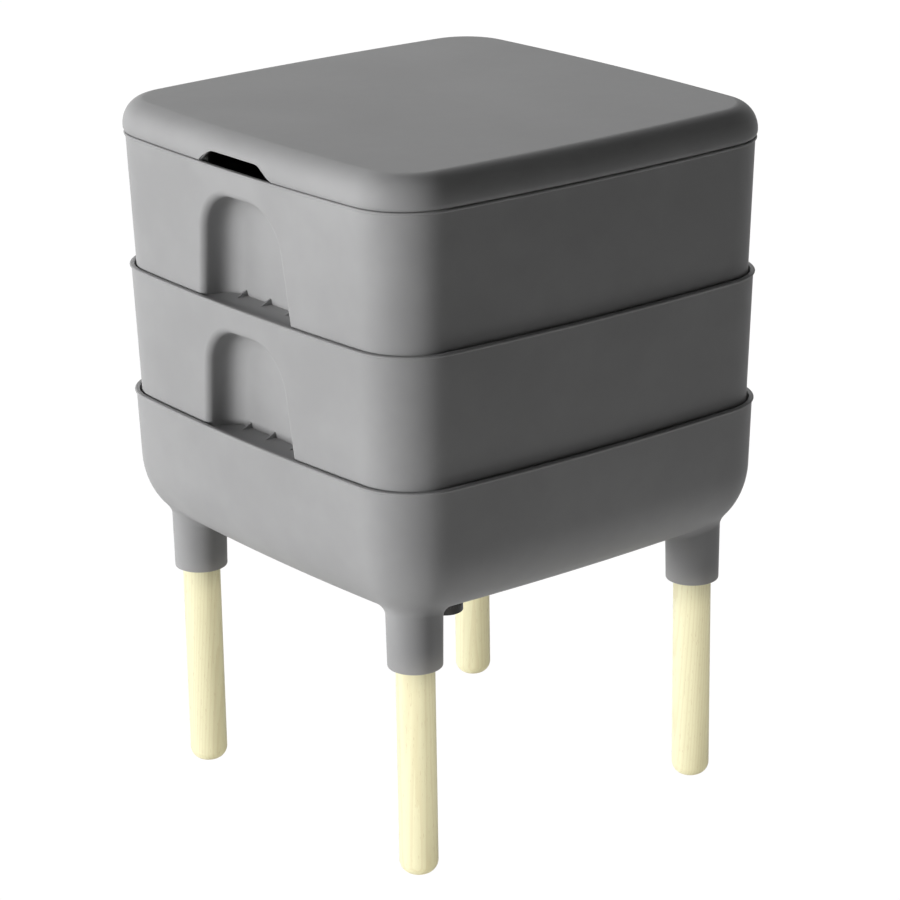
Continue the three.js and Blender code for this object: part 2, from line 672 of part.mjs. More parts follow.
function nutGeometry() {
  const corner = NUT_ACROSS_FLATS / Math.sqrt(3);
  const shape = new THREE.Shape();
  shape.moveTo(corner, 0);
  for (let i = 1; i < 6; i += 1) {
    shape.lineTo(corner * Math.cos(i * Math.PI / 3), corner * Math.sin(i * Math.PI / 3));
  }
  shape.closePath();
  const bore = [[0, nutLow - CUT_OVERRUN], [threadHole, nutLow - CUT_OVERRUN],
    [threadHole, nutTop + CUT_OVERRUN], [0, nutTop + CUT_OVERRUN]];
  return geometryOf(extrudeUp(shape, nutLow, nutTop).subtract(lathe(bore)));
}

function sealRingGeometry() {
  const radius = RING_SECTION / 2;
  const middle = barrelRadius - RING_GROOVE_DEPTH + RUNNING_GAP + radius;
  const geometry = new THREE.TorusGeometry(middle, radius, FOOT_STEPS, ROUND_STEPS);
  geometry.translate(0, 0, ringHeight);
  return geometryOf(solid(geometry));
}

// The scene graph

const greyPlastic = { color: '#9b9b9c', roughness: 0.55, metalness: 0 };
const paleWood = { color: '#dcd5b4', roughness: 0.6, metalness: 0 };
const blackPlastic = { color: '#0e0e0f', roughness: 0.4, metalness: 0 };
const blackRubber = { color: '#101010', roughness: 0.85, metalness: 0 };

const wormery = new THREE.Group();

function addPiece(name, geometry, finish, position) {
  const piece = new THREE.Mesh(geometry, new THREE.MeshStandardMaterial(finish));
  piece.name = name;
  piece.position.copy(position);
  wormery.add(piece);
}

const onAxis = (height) => new THREE.Vector3(0, 0, height);

addPiece('base', baseGeometry(), greyPlastic, onAxis(BASE_CLEAR_HEIGHT));
addPiece('tray_lower', trayGeometry(), greyPlastic, onAxis(trayLowerHeight));
addPiece('tray_upper', trayGeometry(), greyPlastic, onAxis(trayUpperHeight));
addPiece('lid', lidGeometry(), greyPlastic, onAxis(lidSeatHeight));

for (const [name, x, y] of [['leg_front_left', -1, -1], ['leg_front_right', 1, -1],
  ['leg_back_left', -1, 1], ['leg_back_right', 1, 1]]) {
  addPiece(name, legGeometry(), paleWood, new THREE.Vector3(x * legAxis, y * legAxis, 0));
}

const drainHeight = BASE_CLEAR_HEIGHT - DRAIN_FALL;
addPiece('drain_spigot', spigotGeometry(), blackPlastic, onAxis(drainHeight));
addPiece('drain_sleeve', sleeveGeometry(), blackPlastic, onAxis(drainHeight));
addPiece('drain_nut', nutGeometry(), blackPlastic, onAxis(drainHeight));
addPiece('drain_washer', washerGeometry(), blackRubber, onAxis(drainHeight));
addPiece('drain_o_ring', sealRingGeometry(), blackRubber, onAxis(drainHeight));

export default wormery;
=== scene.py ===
# A worm composter: a collector base on dowel legs, two stacked trays, a lid and a drain tap
import math

import bmesh
import bpy
import numpy as np
from mathutils import Matrix, Vector


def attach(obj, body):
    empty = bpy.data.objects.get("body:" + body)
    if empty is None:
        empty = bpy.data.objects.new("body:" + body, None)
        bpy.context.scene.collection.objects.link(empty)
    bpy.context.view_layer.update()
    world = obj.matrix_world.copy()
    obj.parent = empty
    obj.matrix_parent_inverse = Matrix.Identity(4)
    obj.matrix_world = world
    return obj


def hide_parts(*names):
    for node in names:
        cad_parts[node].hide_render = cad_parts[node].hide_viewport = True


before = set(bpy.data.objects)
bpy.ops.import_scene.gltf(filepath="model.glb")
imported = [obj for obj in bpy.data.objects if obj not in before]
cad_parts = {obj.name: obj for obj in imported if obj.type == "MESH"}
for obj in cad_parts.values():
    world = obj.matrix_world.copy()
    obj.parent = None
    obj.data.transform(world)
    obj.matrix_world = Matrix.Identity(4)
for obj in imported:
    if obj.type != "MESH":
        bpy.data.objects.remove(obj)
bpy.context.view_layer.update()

MM = 0.001
QUARTER = math.pi / 2

# Stack: sizes in metres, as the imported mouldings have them
HALF_WIDTH = 193 * MM
CORNER_RADIUS = 52 * MM
SIDE_RADIUS = 2190 * MM
BASE_Z = 213 * MM
BASE_HEIGHT = 110.2 * MM
TRAY_HEIGHT = 121.8 * MM
NEST_IN_BASE = 19 * MM
NEST_IN_TRAY = 16 * MM
WALL = 2.6 * MM
DRAFT = 0.0384
GAP = 0.3 * MM
BEAD_HEIGHT = 2.4 * MM
BEAD_BULGE = 1.3 * MM
RIM_EDGE = 0.7 * MM
TRAY_RIM_INSET = 0.5 * MM
TRAY_FOOT = 5 * MM
BASE_FOOT_WIDTH = 47.5 * MM
BASE_FOOT_HEIGHT = 58 * MM
DRAIN_FALL = 2.5 * MM
DRAIN_SEAT = 24 * MM
OVERRUN = 5 * MM
TRAY_LOWER_Z = BASE_Z + BASE_HEIGHT - NEST_IN_BASE
TRAY_UPPER_Z = TRAY_LOWER_Z + TRAY_HEIGHT - NEST_IN_TRAY
LID_Z = TRAY_UPPER_Z + TRAY_HEIGHT + GAP

# Hand recess in a tray
LEDGE = 14 * MM
RECESS_WIDTH = 109 * MM
RECESS_TOP_DROP = 22.8 * MM
RECESS_LEAN = math.radians(7.1)
RECESS_CORNER = 36 * MM
RECESS_DEPTH = 26.5 * MM
RECESS_HOLLOW = 18 * MM
RECESS_MOUTH = 6 * MM
GUSSET_SPACING = 31 * MM
GUSSET_SHIFT = -3 * MM
GUSSET_THICKNESS = 1.8 * MM
GUSSET_HEIGHT = 4.6 * MM
GUSSET_REACH = 9.5 * MM

# Stacking ribs and floor holes
RIB_OFFSET = 100 * MM
RIB_THICKNESS = 4 * MM
RIB_REACH = 14 * MM
RIB_ROUND = 4 * MM
HOLE_RADIUS = 4.5 * MM
HOLE_EDGE = 0.6 * MM
HOLE_PITCH = 50 * MM
HOLES_PER_ROW = 6

# Lid
LID_HEIGHT = 25 * MM
CROWN_WIDTH = 17.5 * MM
CROWN_HEIGHT = 20.5 * MM
HEM_INSET = 2.6 * MM
SKIRT_INSET = 10 * MM
SKIRT_DROP = 8 * MM
SKIRT_EDGE = 0.8 * MM
LID_RIB_OFFSET = 62 * MM
LID_RIB_HEIGHT = 6 * MM
SLOT_LOW = 46 * MM
SLOT_HIGH = 31.5 * MM
SLOT_HEIGHT = 10.6 * MM
SLOT_CORNER = 7 * MM
SLOT_REACH = 8 * MM
SLOT_EDGE = 0.7 * MM

# Legs and sockets
LEG_RADIUS = 15 * MM
LEG_LENGTH = 232 * MM
LEG_DOME = 10.5 * MM
LEG_CHAMFER = 1.5 * MM
LEG_OUTSET = 3.7 * MM
LEG_CLEARANCE = 0.3 * MM
LEG_INSERTION = 61.5 * MM
SOCKET_RADIUS = 21.1 * MM
SOCKET_LENGTH = 42.5 * MM
SOCKET_WALL = 2.8 * MM
SOCKET_FLARE = 6 * MM
SOCKET_DRAFT = 0.6 * MM
SOCKET_LIP = 1.2 * MM
SOCKET_RIBS = 6
SOCKET_RIB_THICKNESS = 3 * MM
BOSS_ROUND = 2.8 * MM
BORE_TOP = LEG_INSERTION - SOCKET_LENGTH + LEG_CLEARANCE

# Drain tap, measured from the base's underside at its middle
DRAIN_Z = BASE_Z - DRAIN_FALL
SLEEVE_RADIUS = 14.3 * MM
SLEEVE_LOW = -74 * MM
FLANGE_TOP = -2.6 * MM
FLANGE_LOW = -5.6 * MM
FLANGE_RADIUS = 19 * MM
BARREL_RADIUS = 12 * MM
BARREL_LOW = -70.2 * MM
THREAD_RADIUS = 11 * MM
THREAD_DEPTH = 0.8 * MM
THREAD_PITCH = 1.8 * MM
THREAD_HOLE = 11.3 * MM
BORE_RADIUS = 7 * MM
BARREL_BORE = 8.6 * MM
CUP_FLOOR = 3.5 * MM
WINDOW_SILL = 2 * MM
WINDOW_HEIGHT = 9 * MM
WINDOW_ANGLE = math.radians(80)
NUT_LOW = 2.9 * MM
NUT_HEIGHT = 7 * MM
NUT_FLATS = 34 * MM
SPIGOT_RISE = 3 * MM
WASHER_RADIUS = 18 * MM
WASHER_LOW = -2.3 * MM
WASHER_TOP = -0.3 * MM
RING_DROP = 12 * MM
RING_SECTION = 1.4 * MM
GROOVE_DEPTH = 1.8 * MM
SNAP_HEIGHT = 2 * MM
SNAP_REACH = 0.6 * MM
SNAP_GROOVE = 1 * MM
GRIP_COUNT = 36
GRIP_DEPTH = 0.35 * MM
GRIP_RADIUS = 0.7 * MM
GRIP_MARGIN = 5 * MM
TUBE_EDGE = 0.5 * MM
SLEEVE_EDGE = 1 * MM
SNAP_SLOPE = 0.6 * MM
NUT_EDGE = 0.8 * MM
NUT_ROUND = 0.4 * MM
NUT_SLOPE = 0.5
NUT_SPARE = 2 * MM
WASHER_EDGE = 0.4 * MM
THREAD_END = 0.3
NUT_TOP = NUT_LOW + NUT_HEIGHT
SPIGOT_TOP = NUT_TOP + SPIGOT_RISE
SLEEVE_TOP = FLANGE_LOW - 3 * MM
# Heights at which the sleeve's wall is divided
SLEEVE_RINGS = [SLEEVE_LOW + 3 * MM] + [z * MM for z in range(-68, -12, 4)]

# Facets of the fine mesh
CORNER_STEPS = 22
SIDE_STEPS = 24
FILLET_STEPS = 9
FOOT_STEPS = 20
BEAD_STEPS = 10
CROWN_STEPS = 26
ARCH_STEPS = 22
ROUND_STEPS = 96
EDGE_STEPS = 4
LIP_STEPS = 5
RIB_STEPS = 6
HOLE_STEPS = 3
HOLE_FACETS = 24
SOCKET_FACETS = 72
FLARE_STEPS = 12
BORE_STEPS = 8
BOSS_FACETS = 64
HEM_STEPS = 8
SLOT_STEPS = 10
DOME_STEPS = 18
WINDOW_STEPS = 12
THREAD_STEPS = 64
GRIP_FACETS = 10
RING_STEPS = 16
ARCH_FOOT_STEPS = 6
RECESS_BACK_SHARES = (0.2, 0.5, 0.8)
SMOOTH_ANGLE = math.radians(33)

# Finishes of the mouldings: the grain in waves per metre, the bump in metres
# The worn colour is the pale tone of the edges: partly rubbed wear, partly a painted highlight
# where the edges catch light
MOULDED = {
    "grey_moulded_plastic": {"colour": (0.33, 0.33, 0.333), "worn_and_highlight": (0.5, 0.5, 0.5), "rough": 0.6,
                             "wear_and_highlight_share": 0.35, "grain": 1400.0, "bump": 0.00004,
                             "specular": 0.25},
    "black_moulded_plastic": {"colour": (0.014, 0.014, 0.015), "worn_and_highlight": (0.06, 0.06, 0.06),
                              "rough": 0.45, "wear_and_highlight_share": 0.5, "grain": 2000.0,
                              "bump": 0.00002, "specular": 0.2},
    "black_rubber": {"colour": (0.012, 0.012, 0.012), "worn_and_highlight": (0.03, 0.03, 0.03), "rough": 0.8,
                     "wear_and_highlight_share": 0.4, "grain": 2600.0, "bump": 0.00003, "specular": 0.3}}
CLOUD_TONES = (0.93, 1.07)
CLOUD_ROUGHNESS = 0.12
SPECK_SHARE = 0.05
WEAR_POLISH = 0.1
GRAIN_STRENGTH = 0.5

# Finish of the wood: its tones, and the rings, fibres and flecks
WOOD_PALE = (0.8, 0.775, 0.54, 1)
WOOD_MID = (0.71, 0.65, 0.42, 1)
WOOD_BROWN = (0.48, 0.35, 0.18, 1)
HEART_OF_TRUNK = (-0.045, 0.03, 0)
LEAN_OF_TRUNK = (0.035, -0.05, 0)
RINGS_PER_METRE = 340.0
RING_DRIFT = 5.0
RING_STRETCH = 0.03
FIBRES_PER_METRE = 1500.0
FIBRE_STRETCH = 0.02
FLECKS_PER_METRE = 1300.0
FLECK_STRETCH = 0.12
WOOD_SHINE = 0.35
WOOD_RELIEF = 0.00005

# Camera: image and focal length in pixels, angles in degrees, place in metres
IMAGE_WIDTH = 900
IMAGE_CENTRE = (479.121, 474.071)
FOCAL_LENGTH = 3361.417
SENSOR_WIDTH = 36
CAMERA_TURN = {"azimuth": 51.1072, "elevation": 19.3871, "roll": -0.6965}
CAMERA_PLACE = (1.982729, -1.562935, 1.140408)

# Lamps: name, strength, angular size, azimuth from the front towards the right, elevation
LAMPS = (("front", 3.55, 20, -11, 4.8), ("left", 1.4, 30, -60, 5), ("back", 0.67, 30, -120, 30))
# A panel that lies on the floor and shines up
PANEL = {"radiance": 0.72, "place": (0.35, 0, 0.004), "width": 0.2, "length": 0.6}
# A narrow beam along the floor, which lights the legs
LOW_LAMP = {"power": 310, "colour": (1, 0.94, 0.82), "width": 0.04, "cone": 20, "blend": 0.08,
            "squash": 0.195, "azimuth": 70, "elevation": 2, "aim": 0.036, "distance": 4}
# Strength of the white that is seen directly, a little over 1 so that it stays pure
WHITE = 1.02
FLOOR_REACH = 14

side_centre = HALF_WIDTH - SIDE_RADIUS
corner_centre = (2 * side_centre
                 + math.sqrt(8 * (SIDE_RADIUS - CORNER_RADIUS) ** 2 - 4 * side_centre ** 2)) / 4
side_angle = math.atan2(corner_centre - side_centre, corner_centre)
LEG_AXIS = corner_centre + LEG_OUTSET


# Meshes

def add_mesh(name, points, faces):
    data = bpy.data.meshes.new(name)
    data.from_pydata([tuple(p) for p in points], [], [tuple(f) for f in faces])
    data.validate()
    piece = bpy.data.objects.new(name, data)
    bpy.context.scene.collection.objects.link(piece)
    return piece


def loft(name, rings):
    """A closed solid through rings of points, with a fan over each end."""
    count = len(rings[0])
    points = np.concatenate([np.asarray(r, float) for r in rings])
    faces = []
    for r in range(len(rings) - 1):
        for i in range(count):
            here, following = r * count + i, r * count + (i + 1) % count
            faces.append((here, following, following + count, here + count))
    middles = [np.mean(rings[0], axis=0), np.mean(rings[-1], axis=0)]
    first, last = len(points), len(points) + 1
    points = np.concatenate([points, middles])
    end = (len(rings) - 1) * count
    for i in range(count):
        faces.append((first, (i + 1) % count, i))
        faces.append((last, end + i, end + (i + 1) % count))
    return outward(add_mesh(name, points, faces))


def outward(piece):
    work = bmesh.new()
    work.from_mesh(piece.data)
    bmesh.ops.recalc_face_normals(work, faces=work.faces)
    work.to_mesh(piece.data)
    work.free()
    return piece


def lathe(name, profile, steps=ROUND_STEPS, centre=(0, 0, 0), radius_at=None):
    """A profile of (radius, height) turned about the vertical axis; ends on the axis close it."""
    turn = [2 * math.pi * i / steps for i in range(steps)]
    points, rings = [], []
    for r, z in profile:
        if r == 0:
            rings.append([len(points)] * steps)
            points.append((centre[0], centre[1], centre[2] + z))
            continue
        rings.append([len(points) + i for i in range(steps)])
        for a in turn:
            reach = radius_at(r, z, a) if radius_at else r
            points.append((centre[0] + reach * math.cos(a), centre[1] + reach * math.sin(a),
                           centre[2] + z))
    closed = profile[0][0] > 0
    pairs = list(zip(rings, rings[1:])) + ([(rings[-1], rings[0])] if closed else [])
    faces = []
    for low, high in pairs:
        for i in range(steps):
            j = (i + 1) % steps
            face = list(dict.fromkeys((low[i], low[j], high[j], high[i])))
            if len(face) > 2:
                faces.append(face)
    return outward(add_mesh(name, points, faces))


def prism(name, outline, low, high):
    """An outline of (x, y) pulled up from one height to another."""
    rings = [[(x, y, z) for x, y in outline] for z in (low, high)]
    return loft(name, rings)


def settled(piece):
    """The piece with its modifiers made into plain mesh."""
    graph = bpy.context.evaluated_depsgraph_get()
    fresh = bpy.data.meshes.new_from_object(piece.evaluated_get(graph))
    piece.modifiers.clear()
    old, piece.data = piece.data, fresh
    bpy.data.meshes.remove(old)
    return piece


def joined(target, other, operation="UNION"):
    step = target.modifiers.new("Join", "BOOLEAN")
    step.operation = operation
    step.object = other
    step.solver = "MANIFOLD"
    settled(target)
    bpy.data.objects.remove(other)
    return target


def cut(target, *cutters):
    for cutter in cutters:
        joined(target, cutter, "DIFFERENCE")
    return target


def moved(piece, offset=(0, 0, 0), turn=0):
    piece.data.transform(Matrix.Translation(offset) @ Matrix.Rotation(turn, 4, "Z"))
    return piece


def copied(piece, turn=0):
    twin = piece.copy()
    twin.data = piece.data.copy()
    bpy.context.scene.collection.objects.link(twin)
    return moved(twin, turn=turn)


def both(piece):
    """A copy turned to the back, and the piece at the front."""
    return copied(piece, math.pi), piece


def arc(steps, start=0.0, stop=QUARTER):
    return [start + (stop - start) * i / steps for i in range(steps + 1)]


def rising(a):
    """From 0 to 1 over a quarter round, slow at first."""
    return 1 - math.cos(a)


def falling(a):
    """From 1 to 0 over a quarter round, slow at last."""
    return 1 - math.sin(a)


# Plan outline: a square with bulged sides and round corners, drawn in by an inset

def plan_ring(inset, z, share=1.0):
    first = QUARTER - side_angle
    span = math.pi - 2 * side_angle
    corner = np.array(arc(CORNER_STEPS, first, side_angle))
    side = np.array([side_angle + span * i / SIDE_STEPS for i in range(1, SIDE_STEPS)])
    x = np.concatenate([corner_centre + (CORNER_RADIUS - inset) * np.cos(corner),
                        (SIDE_RADIUS - inset) * np.cos(side)])
    y = np.concatenate([corner_centre + (CORNER_RADIUS - inset) * np.sin(corner),
                        side_centre + (SIDE_RADIUS - inset) * np.sin(side)])
    ring = []
    for turn in range(4):
        c, s = math.cos(turn * QUARTER), math.sin(turn * QUARTER)
        turned = ((x * c - y * s) * share, (x * s + y * c) * share, np.full_like(x, z))
        ring.append(np.stack(turned, 1))
    return np.concatenate(ring)


def inset_at(x, y):
    across, along = min(abs(x), abs(y)), max(abs(x), abs(y))
    angle = math.atan2(along - corner_centre, across - corner_centre)
    if QUARTER - side_angle <= angle <= side_angle:
        return CORNER_RADIUS - math.hypot(across - corner_centre, along - corner_centre)
    return SIDE_RADIUS - math.hypot(across, along - side_centre)


def wall_inset(height, z, rim_inset):
    return rim_inset + BEAD_BULGE + (height - z) * DRAFT


def bead_rings(height, rim_inset):
    half = BEAD_HEIGHT / 2
    rings = []
    for angle in arc(BEAD_STEPS, -QUARTER, QUARTER):
        z = height - half + half * math.sin(angle)
        rings.append(plan_ring(wall_inset(height, z, rim_inset) - BEAD_BULGE * math.cos(angle), z))
    return rings


def foot_rings(inset, width, height, z, steps):
    return [plan_ring(inset + width * falling(a), z + height * rising(a)) for a in arc(steps)]


def rim_mouth(height, rim_inset):
    """Rings that open a cavity through the rim, with its inner edge rounded."""
    inset = wall_inset(height, height, rim_inset) + WALL
    rings = [plan_ring(inset - RIM_EDGE * rising(a), height - RIM_EDGE * falling(a))
             for a in arc(EDGE_STEPS)]
    rings.append(plan_ring(inset - RIM_EDGE, height + OVERRUN))
    return rings


# Node trees

class Wires:
    """Short calls for the nodes of one tree."""

    def __init__(self, tree):
        self.tree = tree

    def node(self, kind, settings=None, **sockets):
        made = self.tree.nodes.new(kind)
        for key, value in (settings or {}).items():
            setattr(made, key, value)
        for key, value in sockets.items():
            self.put(made.inputs[key.replace("_", " ")], value)
        return made

    def put(self, socket, value):
        if isinstance(value, bpy.types.NodeSocket):
            self.tree.links.new(value, socket)
        else:
            socket.default_value = value

    def maths(self, operation, first, second=0.0, clamp=False):
        made = self.node("ShaderNodeMath", {"operation": operation, "use_clamp": clamp})
        self.put(made.inputs[0], first)
        self.put(made.inputs[1], second)
        return made.outputs[0]

    def noise(self, where, scale, detail=2.0, rough=0.5):
        made = self.node("ShaderNodeTexNoise", Vector=where, Scale=scale, Detail=detail,
                         Roughness=rough)
        return made.outputs["Fac"]

    def ramp(self, value, low, high):
        made = self.node("ShaderNodeMapRange", {"interpolation_type": "SMOOTHSTEP"}, Value=value,
                         From_Min=low, From_Max=high)
        return made.outputs["Result"]

    def blend(self, share, first, second):
        """A mix of two colours, by the sockets of the colour kind."""
        made = self.node("ShaderNodeMix", {"data_type": "RGBA"})
        for place, value in ((0, share), (6, first), (7, second)):
            self.put(made.inputs[place], value)
        return made.outputs[2]

    def stretched(self, where, along):
        """The place with its height scaled, which draws a pattern out into fibres."""
        return self.node("ShaderNodeMapping", Vector=where, Scale=(1, 1, along)).outputs[0]

    def relief(self, height, strength, depth):
        made = self.node("ShaderNodeBump", Height=height, Strength=strength, Distance=depth)
        return made.outputs[0]


def new_group(name, kind, inputs, outputs):
    """A node group with named sockets: its wires, what comes in and what goes out."""
    group = bpy.data.node_groups.new(name, kind)
    for label, sort, *value in inputs:
        socket = group.interface.new_socket(label, in_out="INPUT", socket_type="NodeSocket" + sort)
        if value:
            socket.default_value = value[0]
    for label, sort in outputs:
        group.interface.new_socket(label, in_out="OUTPUT", socket_type="NodeSocket" + sort)
    came, goes = group.nodes.new("NodeGroupInput"), group.nodes.new("NodeGroupOutput")
    return Wires(group), came.outputs, goes.inputs


# Geometry Nodes: copies of a piece in rows or round the middle, and a turned leg

def piece_tree(name, *inputs):
    """A tree that takes a piece and a material, with more inputs between, and gives a shape."""
    return new_group(name, "GeometryNodeTree",
                     (("Piece", "Geometry"), *inputs, ("Material", "Material")),
                     (("Result", "Geometry"),))


def finish_tree(w, size, end, shape):
    """The shape realized and given its material."""
    real = w.node("GeometryNodeRealizeInstances", Geometry=shape)
    paint = w.node("GeometryNodeSetMaterial", Geometry=real.outputs[0], Material=size["Material"])
    w.put(end[0], paint.outputs[0])
    return w.tree


def rows_tree():
    """Copies in rows and columns about the middle."""
    w, size, end = piece_tree("rows_of_copies", ("Columns", "Int"), ("Rows", "Int"),
                              ("Column pitch", "Float"), ("Row pitch", "Float"))
    grid = w.node("GeometryNodeMeshGrid")
    for count, pitch, axis in (("Columns", "Column pitch", "X"), ("Rows", "Row pitch", "Y")):
        w.put(grid.inputs["Vertices " + axis], size[count])
        gaps = w.maths("SUBTRACT", size[count], 1)
        w.put(grid.inputs["Size " + axis], w.maths("MULTIPLY", gaps, size[pitch]))
    copies = w.node("GeometryNodeInstanceOnPoints", Points=grid.outputs["Mesh"],
                    Instance=size["Piece"])
    return finish_tree(w, size, end, copies.outputs[0])


def turns_tree():
    """Copies turned round the vertical axis through the piece's middle."""
    w, size, end = piece_tree("turned_copies", ("Count", "Int"))
    points = w.node("GeometryNodePoints", Count=size["Count"])
    share = w.maths("DIVIDE", w.node("GeometryNodeInputIndex").outputs[0], size["Count"])
    spin = w.node("ShaderNodeCombineXYZ", Z=w.maths("MULTIPLY", share, 2 * math.pi))
    copies = w.node("GeometryNodeInstanceOnPoints", Points=points.outputs[0],
                    Instance=size["Piece"], Rotation=spin.outputs[0])
    return finish_tree(w, size, end, copies.outputs[0])


def dowel_tree():
    """A turned leg: a straight dowel whose foot is domed and whose top is chamfered."""
    w, size, end = piece_tree("turned_leg", ("Radius", "Float"), ("Length", "Float"),
                              ("Dome", "Float"), ("Chamfer", "Float"), ("Dome steps", "Int"),
                              ("Round steps", "Int"))
    maths = w.maths
    index = w.node("GeometryNodeInputIndex").outputs[0]
    share = maths("MINIMUM", maths("DIVIDE", index, size["Dome steps"]), 1)
    turned = maths("MULTIPLY", share, QUARTER)
    past = maths("SUBTRACT", index, size["Dome steps"])
    on_top = maths("MINIMUM", maths("MAXIMUM", past, 0), 1)
    at_end = maths("MINIMUM", maths("MAXIMUM", maths("SUBTRACT", past, 1), 0), 1)
    bevel = maths("MULTIPLY", at_end, size["Chamfer"])
    lift = maths("MULTIPLY", size["Dome"], maths("SUBTRACT", 1, maths("COSINE", turned)))
    shaft = maths("SUBTRACT", maths("SUBTRACT", size["Length"], size["Chamfer"]), size["Dome"])
    height = maths("ADD", maths("ADD", lift, maths("MULTIPLY", on_top, shaft)), bevel)
    draw_in = maths("MULTIPLY", size["Dome"], maths("SUBTRACT", 1, maths("SINE", turned)))
    radius = maths("SUBTRACT", maths("SUBTRACT", size["Radius"], draw_in), bevel)
    line = w.node("GeometryNodeMeshLine", Count=maths("ADD", size["Dome steps"], 3))
    place = w.node("ShaderNodeCombineXYZ", Z=height)
    spine = w.node("GeometryNodeSetPosition", Geometry=line.outputs["Mesh"],
                   Position=place.outputs[0])
    curve = w.node("GeometryNodeMeshToCurve", Mesh=spine.outputs[0])
    widths = w.node("GeometryNodeSetCurveRadius", Curve=curve.outputs[0], Radius=radius)
    circle = w.node("GeometryNodeCurvePrimitiveCircle", Resolution=size["Round steps"], Radius=1)
    spread = w.node("GeometryNodeInputRadius")
    skin = w.node("GeometryNodeCurveToMesh", Curve=widths.outputs[0],
                  Profile_Curve=circle.outputs[0], Fill_Caps=True, Scale=spread.outputs[0])
    return finish_tree(w, size, end, skin.outputs[0])


def grown(piece, tree, **values):
    """The piece run through a tree, with the tree's named inputs set, as plain mesh."""
    step = piece.modifiers.new(tree.name, "NODES")
    step.node_group = tree
    wanted = {label.replace("_", " ").lower(): value for label, value in values.items()}
    for socket in tree.interface.items_tree:
        if socket.item_type == "SOCKET" and socket.name.lower() in wanted:
            step[socket.identifier] = wanted[socket.name.lower()]
    return settled(piece)


def in_rows(piece, trees, material, columns, column_pitch, rows=1, row_pitch=0.0):
    return grown(piece, trees["rows"], columns=columns, rows=rows, column_pitch=column_pitch,
                 row_pitch=row_pitch, material=material)


def turned_round(piece, trees, material, count=4):
    return grown(piece, trees["turns"], count=count, material=material)


# Materials

def node_tree(name):
    material = bpy.data.materials.new(name)
    material.use_nodes = True
    return material, material.node_tree, material.node_tree.nodes["Principled BSDF"]


def edge_wear_and_highlight_group():
    """A mask of the rounded edges, broken up by noise: rubbed wear, and on the mouldings also a
    painted highlight where the edges catch light.
    """
    w, size, end = new_group("edge_wear", "ShaderNodeTree",
                             (("Width", "Float", 0.001), ("Gain", "Float", 4.0),
                              ("Breaks", "Float", 90.0)), (("Mask", "Float"),))
    soft = w.node("ShaderNodeBevel", {"samples": 4}, Radius=size["Width"])
    shape = w.node("ShaderNodeNewGeometry")
    facing = w.node("ShaderNodeVectorMath", {"operation": "DOT_PRODUCT"})
    w.put(facing.inputs[0], soft.outputs[0])
    w.put(facing.inputs[1], shape.outputs["Normal"])
    turned = w.maths("SUBTRACT", 1.0, facing.outputs["Value"])
    strong = w.maths("MULTIPLY", turned, size["Gain"], clamp=True)
    where = w.node("ShaderNodeTexCoord").outputs["Object"]
    patches = w.ramp(w.noise(where, size["Breaks"], 3.0), 0.35, 0.65)
    w.put(end["Mask"], w.maths("MULTIPLY", strong, patches, clamp=True))
    return w.tree


def grain_group():
    """The fine matt texture of a mould, and slow clouds of tone."""
    w, size, end = new_group("mould_grain", "ShaderNodeTree",
                             (("Grain", "Float", 1400.0), ("Clouds", "Float", 9.0)),
                             (("Height", "Float"), ("Cloud", "Float"), ("Speck", "Float")))
    where = w.node("ShaderNodeTexCoord").outputs["Object"]
    fine = w.noise(where, size["Grain"], 2.0, 0.6)
    coarse = w.noise(where, w.maths("MULTIPLY", size["Grain"], 0.35), 2.0)
    w.put(end["Height"], w.maths("ADD", fine, w.maths("MULTIPLY", coarse, 0.6)))
    w.put(end["Cloud"], w.noise(where, size["Clouds"], 4.0, 0.55))
    specks = w.noise(where, w.maths("MULTIPLY", size["Grain"], 0.5))
    w.put(end["Speck"], w.ramp(specks, 0.62, 0.78))
    return w.tree


def use(tree, group, **values):
    made = tree.nodes.new("ShaderNodeGroup")
    made.node_tree = group
    for key, value in values.items():
        made.inputs[key].default_value = value
    return made.outputs


def moulded_material(name, groups, colour, worn_and_highlight, rough, wear_and_highlight_share, grain, bump, specular):
    """A moulded finish: tone with clouds and specks, pale edges that are partly rubbed wear and
    partly a painted edge highlight, and a matt grain.
    """
    material, tree, shader = node_tree(name)
    w = Wires(tree)
    wear = use(tree, groups["wear"])
    skin = use(tree, groups["grain"], Grain=grain)
    dark, pale = (tuple(c * share for c in colour) + (1,) for share in CLOUD_TONES)
    # rubbed: the pale edge colour, partly wear and partly a painted highlight
    rubbed = tuple(worn_and_highlight) + (1,)
    tone = w.blend(w.ramp(skin["Cloud"], 0.3, 0.7), dark, pale)
    tone = w.blend(w.maths("MULTIPLY", skin["Speck"], SPECK_SHARE), tone, rubbed)
    # Painted edge highlight: the edges are blended towards the pale worn colour, partly as rubbed
    # wear and partly as the light that rounded edges catch
    tone = w.blend(w.maths("MULTIPLY", wear["Mask"], wear_and_highlight_share), tone, rubbed)
    w.put(shader.inputs["Base Color"], tone)
    uneven = w.maths("MULTIPLY", w.maths("SUBTRACT", skin["Cloud"], 0.5), CLOUD_ROUGHNESS)
    smoother = w.maths("MULTIPLY", wear["Mask"], -WEAR_POLISH)
    w.put(shader.inputs["Roughness"],
          w.maths("ADD", w.maths("ADD", uneven, rough), smoother, clamp=True))
    w.put(shader.inputs["Specular IOR Level"], specular)
    w.put(shader.inputs["Normal"], w.relief(skin["Height"], GRAIN_STRENGTH, bump))
    return material


